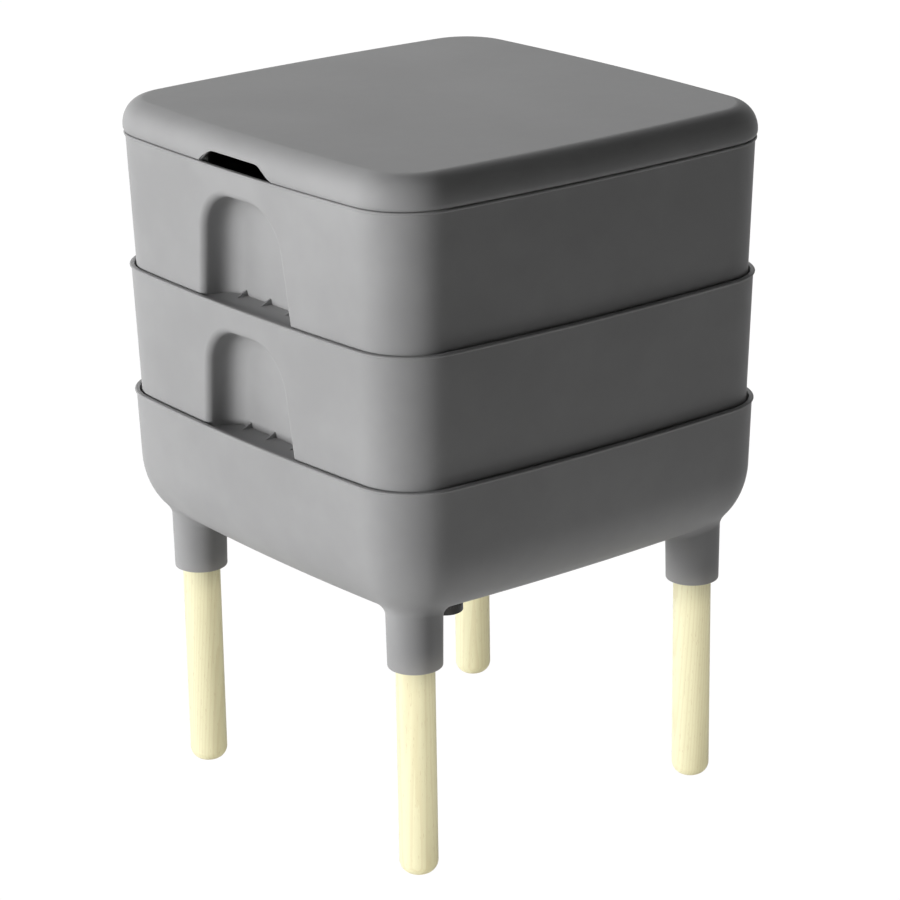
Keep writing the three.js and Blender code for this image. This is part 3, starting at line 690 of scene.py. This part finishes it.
def beech_material(groups):
    """Pale dowel wood: rings about a far axis, long fibres, flecks and darker end grain."""
    material, tree, shader = node_tree("pale_beech")
    w = Wires(tree)
    coords = w.node("ShaderNodeTexCoord")
    where = coords.outputs["Object"]
    leaned = w.node("ShaderNodeMapping", Vector=where, Location=HEART_OF_TRUNK,
                    Rotation=LEAN_OF_TRUNK).outputs[0]
    drift = w.noise(w.stretched(leaned, RING_STRETCH), 45.0, 3.0)
    parts = w.node("ShaderNodeSeparateXYZ", Vector=leaned)
    plane = w.node("ShaderNodeCombineXYZ", X=parts.outputs[0], Y=parts.outputs[1])
    reach = w.node("ShaderNodeVectorMath", {"operation": "LENGTH"})
    w.put(reach.inputs[0], plane.outputs[0])
    years = w.maths("ADD", w.maths("MULTIPLY", reach.outputs["Value"], RINGS_PER_METRE),
                    w.maths("MULTIPLY", drift, RING_DRIFT))
    late = w.ramp(w.maths("FRACT", years), 0.45, 0.95)
    fibres = w.noise(w.stretched(leaned, FIBRE_STRETCH), FIBRES_PER_METRE, 3.0, 0.6)
    flecks = w.noise(w.stretched(where, FLECK_STRETCH), FLECKS_PER_METRE, 1.0)
    flecks = w.ramp(flecks, 0.66, 0.74)
    facing = w.node("ShaderNodeSeparateXYZ", Vector=coords.outputs["Normal"])
    ends = w.ramp(w.maths("ABSOLUTE", facing.outputs[2]), 0.55, 0.95)
    rubbed = use(tree, groups["wear"], Width=1.5 * MM, Gain=3.0)
    tone = WOOD_PALE
    for mask, share, darker in ((late, 0.5, WOOD_MID), (w.ramp(fibres, 0.35, 0.75), 0.22, WOOD_MID),
                                (flecks, 0.3, WOOD_BROWN), (ends, 0.35, WOOD_BROWN),
                                (rubbed["Mask"], 0.15, WOOD_BROWN)):
        tone = w.blend(w.maths("MULTIPLY", mask, share), tone, darker)
    w.put(shader.inputs["Base Color"], tone)
    w.put(shader.inputs["Roughness"], w.maths("ADD", 0.5, w.maths("MULTIPLY", fibres, 0.16)))
    w.put(shader.inputs["Specular IOR Level"], WOOD_SHINE)
    height = w.maths("SUBTRACT", w.maths("MULTIPLY", fibres, 0.7),
                     w.maths("ADD", w.maths("MULTIPLY", late, 0.2), flecks))
    w.put(shader.inputs["Normal"], w.relief(height, 0.45, WOOD_RELIEF))
    return material


# Tray

def tray_wall_y(x, z):
    return x * x / (2 * SIDE_RADIUS) - HALF_WIDTH + wall_inset(TRAY_HEIGHT, z, TRAY_RIM_INSET)


def recess_half_width(z):
    return RECESS_WIDTH / 2 - (z - LEDGE) * math.tan(RECESS_LEAN)


def arch_outline(offset, bottom):
    """Points (x, z) of the recess's arch, drawn in by an offset."""
    z = TRAY_HEIGHT - RECESS_TOP_DROP - RECESS_CORNER
    x = recess_half_width(z) - RECESS_CORNER / math.cos(RECESS_LEAN)
    radius = RECESS_CORNER - offset
    low = recess_half_width(bottom) - offset / math.cos(RECESS_LEAN)
    top = (x + radius * math.cos(RECESS_LEAN), z + radius * math.sin(RECESS_LEAN))
    steps = ARCH_FOOT_STEPS
    right = [(low + (top[0] - low) * i / steps, bottom + (top[1] - bottom) * i / steps)
             for i in range(steps)]
    right += [(x + radius * math.cos(a), z + radius * math.sin(a))
              for a in arc(ARCH_STEPS, RECESS_LEAN, QUARTER)]
    left = [(-px, pz) for px, pz in reversed(right)]
    crown = [(right[-1][0] * (1 - i / 2), right[-1][1]) for i in (1, 2, 3)]
    return right + crown + left


def arch_ring(offset, depth, bottom, share=1.0):
    middle = TRAY_HEIGHT / 2
    points = [(x * share, middle + (z - middle) * share) for x, z in arch_outline(offset, bottom)]
    return [(x, tray_wall_y(x, z) + depth, z) for x, z in points]


def recess_solid(name, growth, bottom):
    """The recess from its back to its mouth, or its skin when grown by a wall."""
    hollow = RECESS_HOLLOW + growth
    rings = [arch_ring(RECESS_HOLLOW, RECESS_DEPTH + growth, bottom, share)
             for share in RECESS_BACK_SHARES]
    for a in arc(FILLET_STEPS * 2):
        offset = hollow * falling(a) - growth
        rings.append(arch_ring(offset, RECESS_DEPTH + growth - hollow * rising(a), bottom))
    if growth == 0:
        for a in arc(FILLET_STEPS):
            rings.append(arch_ring(-RECESS_MOUTH * rising(a), RECESS_MOUTH * falling(a), bottom))
        rings.append(arch_ring(-RECESS_MOUTH, -OVERRUN, bottom))
    else:
        rings.append(arch_ring(-growth - RECESS_MOUTH, -OVERRUN, bottom))
    return loft(name, rings)


def under_ledge():
    half = recess_half_width(LEDGE)
    front = tray_wall_y(0, 0) + WALL
    back = tray_wall_y(0, LEDGE) + RECESS_DEPTH - RECESS_HOLLOW
    outline = [(-half, front), (half, front)]
    for centre, start in ((half - RECESS_HOLLOW, 0), (RECESS_HOLLOW - half, QUARTER)):
        outline += [(centre + RECESS_HOLLOW * math.cos(a), back + RECESS_HOLLOW * math.sin(a))
                    for a in arc(FILLET_STEPS, start, start + QUARTER)]
    return prism("under_ledge", outline, -OVERRUN, LEDGE - WALL)


def slab(name, thickness, outline):
    """An outline of (y, z) made into a plate across the middle."""
    return loft(name, [[(x, y, z) for y, z in outline] for x in (-thickness / 2, thickness / 2)])


def gusset_row(trees, grey):
    back = tray_wall_y(0, LEDGE) + RECESS_DEPTH
    front, top = back - GUSSET_REACH, LEDGE + GUSSET_HEIGHT
    embed = WALL / 2
    web = slab("gussets", GUSSET_THICKNESS,
               [(front, LEDGE), (back, top), (back + embed, top), (back + embed, LEDGE - embed),
                (front, LEDGE - embed)])
    return moved(in_rows(web, trees, grey, 3, GUSSET_SPACING), (GUSSET_SHIFT, 0, 0))


def stacking_ribs(trees, grey, low, high, wall_half):
    """Ribs on the inner walls that carry the tray above: two on each side."""
    tip = wall_half - RIB_REACH
    outline = [(wall_half + OVERRUN, low), (wall_half + OVERRUN, high)]
    outline += [(tip + RIB_ROUND * falling(a), high - RIB_ROUND * rising(a))
                for a in arc(RIB_STEPS)]
    outline.append((tip, low))
    rib = slab("stacking_ribs", RIB_THICKNESS, outline)
    return turned_round(in_rows(rib, trees, grey, 2, 2 * RIB_OFFSET), trees, grey)


def floor_punches(trees, grey):
    """Cutters for the floor's drain holes, flared a little at both faces."""
    wide = HOLE_RADIUS + HOLE_EDGE
    profile = [(0, -OVERRUN), (wide, -OVERRUN), (wide, 0)]
    profile += [(HOLE_RADIUS + HOLE_EDGE * falling(a), HOLE_EDGE * rising(a))
                for a in arc(HOLE_STEPS)]
    profile += [(HOLE_RADIUS + HOLE_EDGE * rising(a), WALL - HOLE_EDGE * falling(a))
                for a in arc(HOLE_STEPS)]
    profile += [(wide, WALL + OVERRUN), (0, WALL + OVERRUN)]
    punch = lathe("punches", profile, HOLE_FACETS)
    return in_rows(punch, trees, grey, HOLES_PER_ROW, HOLE_PITCH, HOLES_PER_ROW, HOLE_PITCH)


def tray(z, trees, grey):
    foot = wall_inset(TRAY_HEIGHT, TRAY_FOOT, TRAY_RIM_INSET)
    body = loft("tray", foot_rings(foot, TRAY_FOOT, TRAY_FOOT, 0, FILLET_STEPS)
                + bead_rings(TRAY_HEIGHT, TRAY_RIM_INSET))
    inner = TRAY_FOOT - WALL / 2
    space = loft("space", foot_rings(foot + WALL, inner, inner, WALL, FILLET_STEPS)
                 + rim_mouth(TRAY_HEIGHT, TRAY_RIM_INSET))
    rib_top = TRAY_HEIGHT - NEST_IN_TRAY - GAP
    wall_half = HALF_WIDTH - wall_inset(TRAY_HEIGHT, rib_top, TRAY_RIM_INSET) - WALL
    cut(space, *both(recess_solid("skin", WALL, -OVERRUN)),
        stacking_ribs(trees, grey, 0, rib_top, wall_half))
    cut(body, space, *both(recess_solid("hollow", 0, LEDGE)), *both(under_ledge()),
        floor_punches(trees, grey))
    for webs in both(gusset_row(trees, grey)):
        joined(body, webs)
    return moved(body, (0, 0, z))


# Collector base

base_foot_inset = wall_inset(BASE_HEIGHT, BASE_FOOT_HEIGHT, 0)
flat_inset = base_foot_inset + BASE_FOOT_WIDTH


def underside(x, y):
    run = BASE_FOOT_WIDTH - (inset_at(x, y) - base_foot_inset)
    share = min(max(run / BASE_FOOT_WIDTH, 0), 1)
    return BASE_FOOT_HEIGHT * (1 - math.sqrt(1 - share * share))


def socket():
    """A leg socket, flared where it meets the rounded underside."""
    levels = [(SOCKET_RADIUS - SOCKET_LIP * falling(a), -SOCKET_LENGTH + SOCKET_LIP * rising(a), 0)
              for a in arc(LIP_STEPS)]
    levels += [(SOCKET_RADIUS + SOCKET_DRAFT + SOCKET_FLARE * falling(a),
                SOCKET_FLARE * (math.cos(a) - 1), 1) for a in reversed(arc(FLARE_STEPS))]
    levels.append((levels[-1][0], WALL / 2, 1))
    rings = []
    for radius, z, follow in levels:
        ring = []
        for a in arc(SOCKET_FACETS, 0, 2 * math.pi)[:-1]:
            x, y = LEG_AXIS + radius * math.cos(a), LEG_AXIS + radius * math.sin(a)
            ring.append((x, y, z + follow * underside(x, y)))
        rings.append(ring)
    return loft("sockets", rings)


def socket_bore():
    outer, inner = SOCKET_RADIUS - SOCKET_WALL, LEG_RADIUS + LEG_CLEARANCE
    half = SOCKET_RIB_THICKNESS / 2
    pitch = 2 * math.pi / SOCKET_RIBS
    between = arc(BORE_STEPS, half / outer, pitch - half / outer)[:-1]
    rib = [(outer, -half / outer), (inner, -half / inner), (inner, half / inner)]
    outline = []
    for i in range(SOCKET_RIBS):
        for radius, angle in rib + [(outer, a) for a in between]:
            turn = i * pitch + angle
            outline.append((LEG_AXIS + radius * math.cos(turn), LEG_AXIS + radius * math.sin(turn)))
    return prism("bores", outline, -SOCKET_LENGTH - OVERRUN, BORE_TOP)


def socket_boss():
    top = BORE_TOP + SOCKET_WALL
    profile = [(0, -DRAIN_FALL - OVERRUN), (SOCKET_RADIUS, -DRAIN_FALL - OVERRUN)]
    profile += [(SOCKET_RADIUS - BOSS_ROUND * rising(a), top - BOSS_ROUND * falling(a))
                for a in arc(LIP_STEPS)]
    profile.append((0, top))
    return lathe("bosses", profile, BOSS_FACETS, (LEG_AXIS, LEG_AXIS, 0))


def base(trees, grey):
    share = DRAIN_SEAT / (HALF_WIDTH - flat_inset)
    body = loft("base", [plan_ring(flat_inset, -DRAIN_FALL, share)]
                + foot_rings(base_foot_inset, BASE_FOOT_WIDTH, BASE_FOOT_HEIGHT, 0, FOOT_STEPS)
                + bead_rings(BASE_HEIGHT, 0))
    space = loft("space", [plan_ring(flat_inset, WALL - DRAIN_FALL, share)]
                 + foot_rings(base_foot_inset + WALL, BASE_FOOT_WIDTH - WALL,
                              BASE_FOOT_HEIGHT - WALL, WALL, FOOT_STEPS)
                 + rim_mouth(BASE_HEIGHT, 0))
    rib_top = BASE_HEIGHT - NEST_IN_BASE - GAP
    wall_half = HALF_WIDTH - wall_inset(BASE_HEIGHT, rib_top, 0) - WALL
    bosses = turned_round(socket_boss(), trees, grey)
    cut(space, bosses, stacking_ribs(trees, grey, 0, rib_top, wall_half))
    joined(body, turned_round(socket(), trees, grey))
    low, high = -DRAIN_FALL - OVERRUN, WALL + OVERRUN
    hole = lathe("hole", [(0, low), (THREAD_HOLE, low), (THREAD_HOLE, high), (0, high)])
    cut(body, space, turned_round(socket_bore(), trees, grey), hole)
    return moved(body, (0, 0, BASE_Z))


# Lid

hem = LID_HEIGHT - CROWN_HEIGHT


def lid_inset(z):
    if z < hem:
        return HEM_INSET * (1 - math.sqrt(max(0, 1 - (1 - z / hem) ** 2)))
    return CROWN_WIDTH * (1 - math.sqrt(max(0, 1 - ((z - hem) / CROWN_HEIGHT) ** 2)))


def crown_rings(grow):
    width, height = CROWN_WIDTH - grow, CROWN_HEIGHT - grow
    return [plan_ring(CROWN_WIDTH - width * math.cos(a), hem + height * math.sin(a))
            for a in arc(CROWN_STEPS)]


def skirt(low, high, rounded):
    outside, inside = SKIRT_INSET, SKIRT_INSET + WALL
    outer, inner = [plan_ring(outside, high)], [plan_ring(inside, high + OVERRUN)]
    if rounded:
        for a in arc(EDGE_STEPS):
            z = low + SKIRT_EDGE * falling(a)
            outer.append(plan_ring(outside + SKIRT_EDGE * rising(a), z))
            inner.append(plan_ring(inside - SKIRT_EDGE * rising(a), z))
        inner.append(plan_ring(inside - SKIRT_EDGE, low - OVERRUN))
    else:
        outer.append(plan_ring(outside, low))
        inner.append(plan_ring(inside, low - OVERRUN))
    return cut(loft("skirt", outer[::-1]), loft("skirt_space", inner[::-1]))


def slot_outline(offset):
    """Points (x, z) of the air slot, grown by an offset."""
    low, high, top = SLOT_LOW + offset, SLOT_HIGH + offset, SLOT_HEIGHT + offset
    bend = SLOT_CORNER / 2
    start, middle, stop = (high + bend, top - bend), (high, top), (high - SLOT_CORNER, top)
    right = [(low, -OVERRUN), (low, 0)]
    for t in arc(SLOT_STEPS, 0, 1):
        right.append(tuple((1 - t) ** 2 * p + 2 * t * (1 - t) * q + t * t * r
                           for p, q, r in zip(start, middle, stop)))
    return right + [(-x, z) for x, z in reversed(right)]


def slot_solid():
    """The cutter of an air slot, with its outer edge rounded."""
    def ring(offset, depth):
        return [(x, x * x / (2 * SIDE_RADIUS) - HALF_WIDTH + lid_inset(max(z, 0)) + depth, z)
                for x, z in slot_outline(offset)]
    rings = [[(x, SLOT_REACH - HALF_WIDTH, z) for x, z in slot_outline(0)], ring(0, WALL)]
    rings += [ring(SLOT_EDGE * rising(a), SLOT_EDGE * falling(a)) for a in arc(EDGE_STEPS)]
    rings.append(ring(SLOT_EDGE, -OVERRUN))
    return loft("slot", rings)


def lid(trees, grey):
    hem_rings = [plan_ring(HEM_INSET * falling(a), hem * rising(a)) for a in arc(HEM_STEPS)[:-1]]
    body = loft("lid", hem_rings + crown_rings(0))
    space = loft("space", [plan_ring(HEM_INSET + WALL, -OVERRUN), plan_ring(HEM_INSET + WALL, 0)]
                 + crown_rings(WALL))
    reach = HALF_WIDTH - SKIRT_INSET - WALL / 2
    low, high = LID_HEIGHT - WALL - LID_RIB_HEIGHT, LID_HEIGHT
    rib = slab("lid_ribs", WALL, [(-reach, low), (reach, low), (reach, high), (-reach, high)])
    in_rows(rib, trees, grey, 2, 2 * LID_RIB_OFFSET)
    cross = copied(rib, QUARTER)
    inset = SKIRT_INSET + WALL / 2
    inner = loft("inner", [plan_ring(inset, -OVERRUN), plan_ring(inset, LID_HEIGHT)])
    joined(rib, copied(inner), "INTERSECT")
    joined(cross, inner, "INTERSECT")
    cut(space, skirt(0, LID_HEIGHT, False), rib, cross)
    cut(body, space, *both(slot_solid()))
    joined(body, skirt(-SKIRT_DROP, hem, True))
    near, far = SLOT_REACH - HALF_WIDTH, SKIRT_INSET + WALL + OVERRUN - HALF_WIDTH
    notch = prism("notch", [(-SLOT_LOW, near), (SLOT_LOW, near), (SLOT_LOW, far),
                            (-SLOT_LOW, far)], -SKIRT_DROP - OVERRUN, SLOT_HEIGHT)
    cut(body, *both(notch))
    return moved(body, (0, 0, LID_Z))


# Legs

def leg(x, y, trees, wood):
    start = add_mesh("leg", [(0, 0, 0)], [])
    grown(start, trees["dowel"], radius=LEG_RADIUS, length=LEG_LENGTH, dome=LEG_DOME,
          chamfer=LEG_CHAMFER, dome_steps=DOME_STEPS, round_steps=ROUND_STEPS, material=wood)
    return outward(moved(start, (x * LEG_AXIS, y * LEG_AXIS, 0)))


# Drain tap

def window_cutters(start, trees, black):
    """Cutters for a window on each side. A quarter turn of the sleeve brings its own in line."""
    low = BARREL_LOW + WINDOW_SILL
    half = WINDOW_ANGLE / 2
    outline = []
    for radius, side in ((SLEEVE_RADIUS + OVERRUN, 1), (BORE_RADIUS, -1)):
        outline += [(radius * math.cos(a), radius * math.sin(a))
                    for a in arc(WINDOW_STEPS, start - side * half, start + side * half)]
    return turned_round(prism("windows", outline, low, low + WINDOW_HEIGHT), trees, black, 2)


def spigot(trees, black):
    ring_z = SLEEVE_TOP - RING_DROP
    half = RING_SECTION / 2 + GAP
    snap_low, snap_high = SLEEVE_TOP - SNAP_HEIGHT - GAP, SLEEVE_TOP + GAP
    groove, snap = BARREL_RADIUS - GROOVE_DEPTH, BARREL_RADIUS - SNAP_GROOVE
    profile = [(BARREL_BORE, BARREL_LOW), (BARREL_RADIUS - TUBE_EDGE, BARREL_LOW),
               (BARREL_RADIUS, BARREL_LOW + TUBE_EDGE), (BARREL_RADIUS, ring_z - half),
               (groove, ring_z - half), (groove, ring_z + half), (BARREL_RADIUS, ring_z + half),
               (BARREL_RADIUS, snap_low), (snap, snap_low), (snap, snap_high),
               (BARREL_RADIUS, snap_high), (BARREL_RADIUS, FLANGE_LOW),
               (FLANGE_RADIUS - TUBE_EDGE, FLANGE_LOW), (FLANGE_RADIUS, FLANGE_LOW + TUBE_EDGE),
               (FLANGE_RADIUS, FLANGE_TOP)]
    profile += [(THREAD_RADIUS, z) for z in arc(THREAD_STEPS, FLANGE_TOP, SPIGOT_TOP)]
    profile += [(BORE_RADIUS, SPIGOT_TOP), (BORE_RADIUS, FLANGE_LOW), (BARREL_BORE, FLANGE_LOW)]

    def threaded(r, z, a):
        if r != THREAD_RADIUS or z <= FLANGE_TOP:
            return r
        climbed = (z - FLANGE_TOP) / THREAD_PITCH
        along = (climbed - a / (2 * math.pi)) % 1
        fade = min(1, climbed, (SPIGOT_TOP - z) / THREAD_PITCH + THREAD_END)
        return r - THREAD_DEPTH * fade * (1 - abs(2 * along - 1))

    body = lathe("drain_spigot", profile, ROUND_STEPS, radius_at=threaded)
    cut(body, window_cutters(0, trees, black))
    return moved(body, (0, 0, DRAIN_Z))


def sleeve(trees, black):
    inner = BARREL_RADIUS + GAP
    lip = inner - SNAP_REACH
    bottom, snap_low = SLEEVE_LOW + CUP_FLOOR, SLEEVE_TOP - SNAP_HEIGHT
    profile = [(0, SLEEVE_LOW)]
    profile += [(SLEEVE_RADIUS - SLEEVE_EDGE * falling(a), SLEEVE_LOW + SLEEVE_EDGE * rising(a))
                for a in arc(LIP_STEPS)]
    profile += [(SLEEVE_RADIUS, z) for z in SLEEVE_RINGS]
    profile += [(SLEEVE_RADIUS - SLEEVE_EDGE * rising(a), SLEEVE_TOP - SLEEVE_EDGE * falling(a))
                for a in arc(LIP_STEPS)]
    profile += [(lip, SLEEVE_TOP), (lip, snap_low), (inner, snap_low - SNAP_SLOPE),
                (inner, bottom), (0, bottom)]
    body = lathe("drain_sleeve", profile, ROUND_STEPS)
    low, high = SLEEVE_LOW + GRIP_MARGIN, SLEEVE_TOP - GRIP_MARGIN
    groove = lathe("grips", [(0, low), (GRIP_RADIUS, low + GRIP_RADIUS),
                             (GRIP_RADIUS, high - GRIP_RADIUS), (0, high)], GRIP_FACETS,
                   (SLEEVE_RADIUS + GRIP_RADIUS - GRIP_DEPTH, 0, 0))
    cut(body, turned_round(groove, trees, black, GRIP_COUNT),
        window_cutters(QUARTER, trees, black))
    return moved(body, (0, 0, DRAIN_Z))


def nut():
    corner = NUT_FLATS / math.sqrt(3)
    turns = [i * math.pi / 3 for i in range(6)]
    body = prism("drain_nut", [(corner * math.cos(a), corner * math.sin(a)) for a in turns],
                 NUT_LOW, NUT_TOP)
    below = NUT_LOW - OVERRUN
    flat, wide = NUT_FLATS / 2 + NUT_ROUND, corner + NUT_SPARE
    cone = lathe("cone", [(0, below), (wide, below), (wide, NUT_TOP - (wide - flat) * NUT_SLOPE),
                          (flat, NUT_TOP), (0, NUT_TOP)])
    joined(body, cone, "INTERSECT")
    mouth, above = THREAD_HOLE + NUT_EDGE, NUT_TOP + OVERRUN
    cut(body, lathe("bore", [(0, below), (THREAD_HOLE, below), (THREAD_HOLE, NUT_TOP - NUT_EDGE),
                             (mouth, NUT_TOP), (mouth, above), (0, above)]))
    return moved(body, (0, 0, DRAIN_Z))


def washer():
    edge = [(WASHER_RADIUS - WASHER_EDGE * rising(a), WASHER_EDGE * falling(a))
            for a in arc(EDGE_STEPS)]
    profile = [(THREAD_HOLE, WASHER_LOW)] + [(r, WASHER_LOW + z) for r, z in reversed(edge)]
    profile += [(r, WASHER_TOP - z) for r, z in edge] + [(THREAD_HOLE, WASHER_TOP)]
    return moved(lathe("drain_washer", profile), (0, 0, DRAIN_Z))


def seal_ring():
    radius = RING_SECTION / 2
    middle = BARREL_RADIUS - GROOVE_DEPTH + GAP + radius
    z = SLEEVE_TOP - RING_DROP
    profile = [(middle + radius * math.cos(a), z + radius * math.sin(a))
               for a in arc(RING_STEPS, 0, 2 * math.pi)[:-1]]
    return moved(lathe("drain_o_ring", profile), (0, 0, DRAIN_Z))


# Finish: even shading, one material, a name from the node with an ending picked by the slot, and
# the body

def finished(piece, node, material, body, slot):
    piece.data.materials.clear()
    piece.data.materials.append(material)
    piece.data.polygons.foreach_set("material_index", [0] * len(piece.data.polygons))
    piece.data.polygons.foreach_set("use_smooth", [True] * len(piece.data.polygons))
    piece.data.set_sharp_from_angle(angle=SMOOTH_ANGLE)
    even = piece.modifiers.new("Even", "WEIGHTED_NORMAL")
    even.keep_sharp = True
    even.weight = 50
    settled(piece)
    piece.name = piece.data.name = node + "_moulding" if slot == "grey_plastic" else node + "_piece"
    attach(piece, body)
    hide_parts(node)


# Studio

def towards(azimuth, elevation):
    """A direction: azimuth from the front round to the right, both in degrees."""
    a, e = math.radians(azimuth), math.radians(elevation)
    return Vector((math.sin(a) * math.cos(e), -math.cos(a) * math.cos(e), math.sin(e)))


def camera():
    data = bpy.data.cameras.new("camera")
    data.sensor_width = SENSOR_WIDTH
    data.sensor_fit = "HORIZONTAL"
    data.lens = FOCAL_LENGTH * SENSOR_WIDTH / IMAGE_WIDTH
    data.shift_x = -(IMAGE_CENTRE[0] - IMAGE_WIDTH / 2) / IMAGE_WIDTH
    data.shift_y = (IMAGE_CENTRE[1] - IMAGE_WIDTH / 2) / IMAGE_WIDTH
    azimuth, roll = math.radians(CAMERA_TURN["azimuth"]), math.radians(CAMERA_TURN["roll"])
    back = towards(CAMERA_TURN["azimuth"], CAMERA_TURN["elevation"])
    right = Vector((math.cos(azimuth), math.sin(azimuth), 0))
    up = back.cross(right)
    turned_right = right * math.cos(roll) + up * math.sin(roll)
    turned_up = up * math.cos(roll) - right * math.sin(roll)
    turn = Matrix((turned_right, turned_up, back)).transposed().to_4x4()
    body = bpy.data.objects.new("camera", data)
    bpy.context.scene.collection.objects.link(body)
    body.matrix_world = Matrix.Translation(CAMERA_PLACE) @ turn
    bpy.context.scene.camera = body


def seen_directly(w):
    """1 for rays that should meet a white background, 0 for light that falls on the object."""
    path = w.node("ShaderNodeLightPath").outputs
    return w.maths("MAXIMUM", w.maths("MAXIMUM", path["Is Camera Ray"], path["Is Glossy Ray"]),
                   path["Is Transmission Ray"])


def facing(way):
    """The turn that points a lamp's back in a direction."""
    return way.to_track_quat("Z", "Y").to_matrix().to_4x4()


def add_lamp(name, kind, energy, place, **settings):
    data = bpy.data.lights.new(name, kind)
    data.energy = energy
    for key, value in settings.items():
        setattr(data, key, value)
    lamp = bpy.data.objects.new(name, data)
    bpy.context.scene.collection.objects.link(lamp)
    lamp.matrix_world = place
    return lamp


def white_world():
    world = bpy.data.worlds.new("studio")
    bpy.context.scene.world = world
    world.use_nodes = True
    w = Wires(world.node_tree)
    shown = world.node_tree.nodes["Background"].inputs
    shown["Color"].default_value = (1, 1, 1, 1)
    w.put(shown["Strength"], w.maths("MULTIPLY", seen_directly(w), WHITE))


def white_floor():
    far = FLOOR_REACH
    floor = add_mesh("floor", [(-far, -far, 0), (far, -far, 0), (far, far, 0), (-far, far, 0)],
                     [(0, 1, 2, 3)])
    material, tree, shader = node_tree("white_floor")
    w = Wires(tree)
    shader.inputs["Base Color"].default_value = (0.8, 0.8, 0.8, 1)
    shader.inputs["Roughness"].default_value = 0.9
    glow = w.node("ShaderNodeEmission", Color=(1, 1, 1, 1), Strength=WHITE)
    seen = w.node("ShaderNodeMixShader")
    for place, value in enumerate((seen_directly(w), shader.outputs[0], glow.outputs[0])):
        w.put(seen.inputs[place], value)
    w.put(tree.nodes["Material Output"].inputs["Surface"], seen.outputs[0])
    floor.data.materials.append(material)


def studio():
    bpy.context.scene.view_settings.view_transform = "Standard"
    white_world()
    for name, strength, angle, azimuth, elevation in LAMPS:
        add_lamp(name, "SUN", strength, facing(towards(azimuth, elevation)),
                 angle=math.radians(angle))

    width, length = PANEL["width"], PANEL["length"]
    upwards = Matrix.Translation(PANEL["place"]) @ Matrix.Rotation(math.pi, 4, "X")
    panel = add_lamp("panel_right", "AREA", math.pi * PANEL["radiance"] * width * length, upwards,
                     shape="RECTANGLE", size=width, size_y=length)
    panel.visible_camera = False

    way = towards(LOW_LAMP["azimuth"], LOW_LAMP["elevation"])
    place = Matrix.Translation(Vector((0, 0, LOW_LAMP["aim"])) + way * LOW_LAMP["distance"])
    add_lamp("low_right", "SPOT", LOW_LAMP["power"],
             place @ facing(way) @ Matrix.Diagonal((1, LOW_LAMP["squash"], 1, 1)),
             shadow_soft_size=LOW_LAMP["width"] / 2, color=LOW_LAMP["colour"],
             spot_size=math.radians(LOW_LAMP["cone"]), spot_blend=LOW_LAMP["blend"])
    white_floor()


def build():
    trees = {"rows": rows_tree(), "turns": turns_tree(), "dowel": dowel_tree()}
    groups = {"wear": edge_wear_and_highlight_group(), "grain": grain_group()}
    grey, black, rubber = (moulded_material(name, groups, **values)
                           for name, values in MOULDED.items())
    wood = beech_material(groups)
    finished(base(trees, grey), "base", grey, "stand", "grey_plastic")
    lower = tray(TRAY_LOWER_Z, trees, grey)
    upper = moved(copied(lower), (0, 0, TRAY_UPPER_Z - TRAY_LOWER_Z))
    finished(lower, "tray_lower", grey, "lower_tray", "grey_plastic")
    finished(upper, "tray_upper", grey, "upper_tray", "grey_plastic")
    finished(lid(trees, grey), "lid", grey, "cover", "grey_plastic")
    for name, x, y in (("leg_front_left", -1, -1), ("leg_front_right", 1, -1),
                       ("leg_back_left", -1, 1), ("leg_back_right", 1, 1)):
        finished(leg(x, y, trees, wood), name, wood, "stand", "leg_wood")
    finished(spigot(trees, black), "drain_spigot", black, "stand", "drain_plastic")
    finished(sleeve(trees, black), "drain_sleeve", black, "drain_valve", "drain_plastic")
    finished(nut(), "drain_nut", black, "stand", "drain_plastic")
    finished(washer(), "drain_washer", rubber, "stand", "seal_rubber")
    finished(seal_ring(), "drain_o_ring", rubber, "stand", "seal_rubber")


camera()
studio()
build()
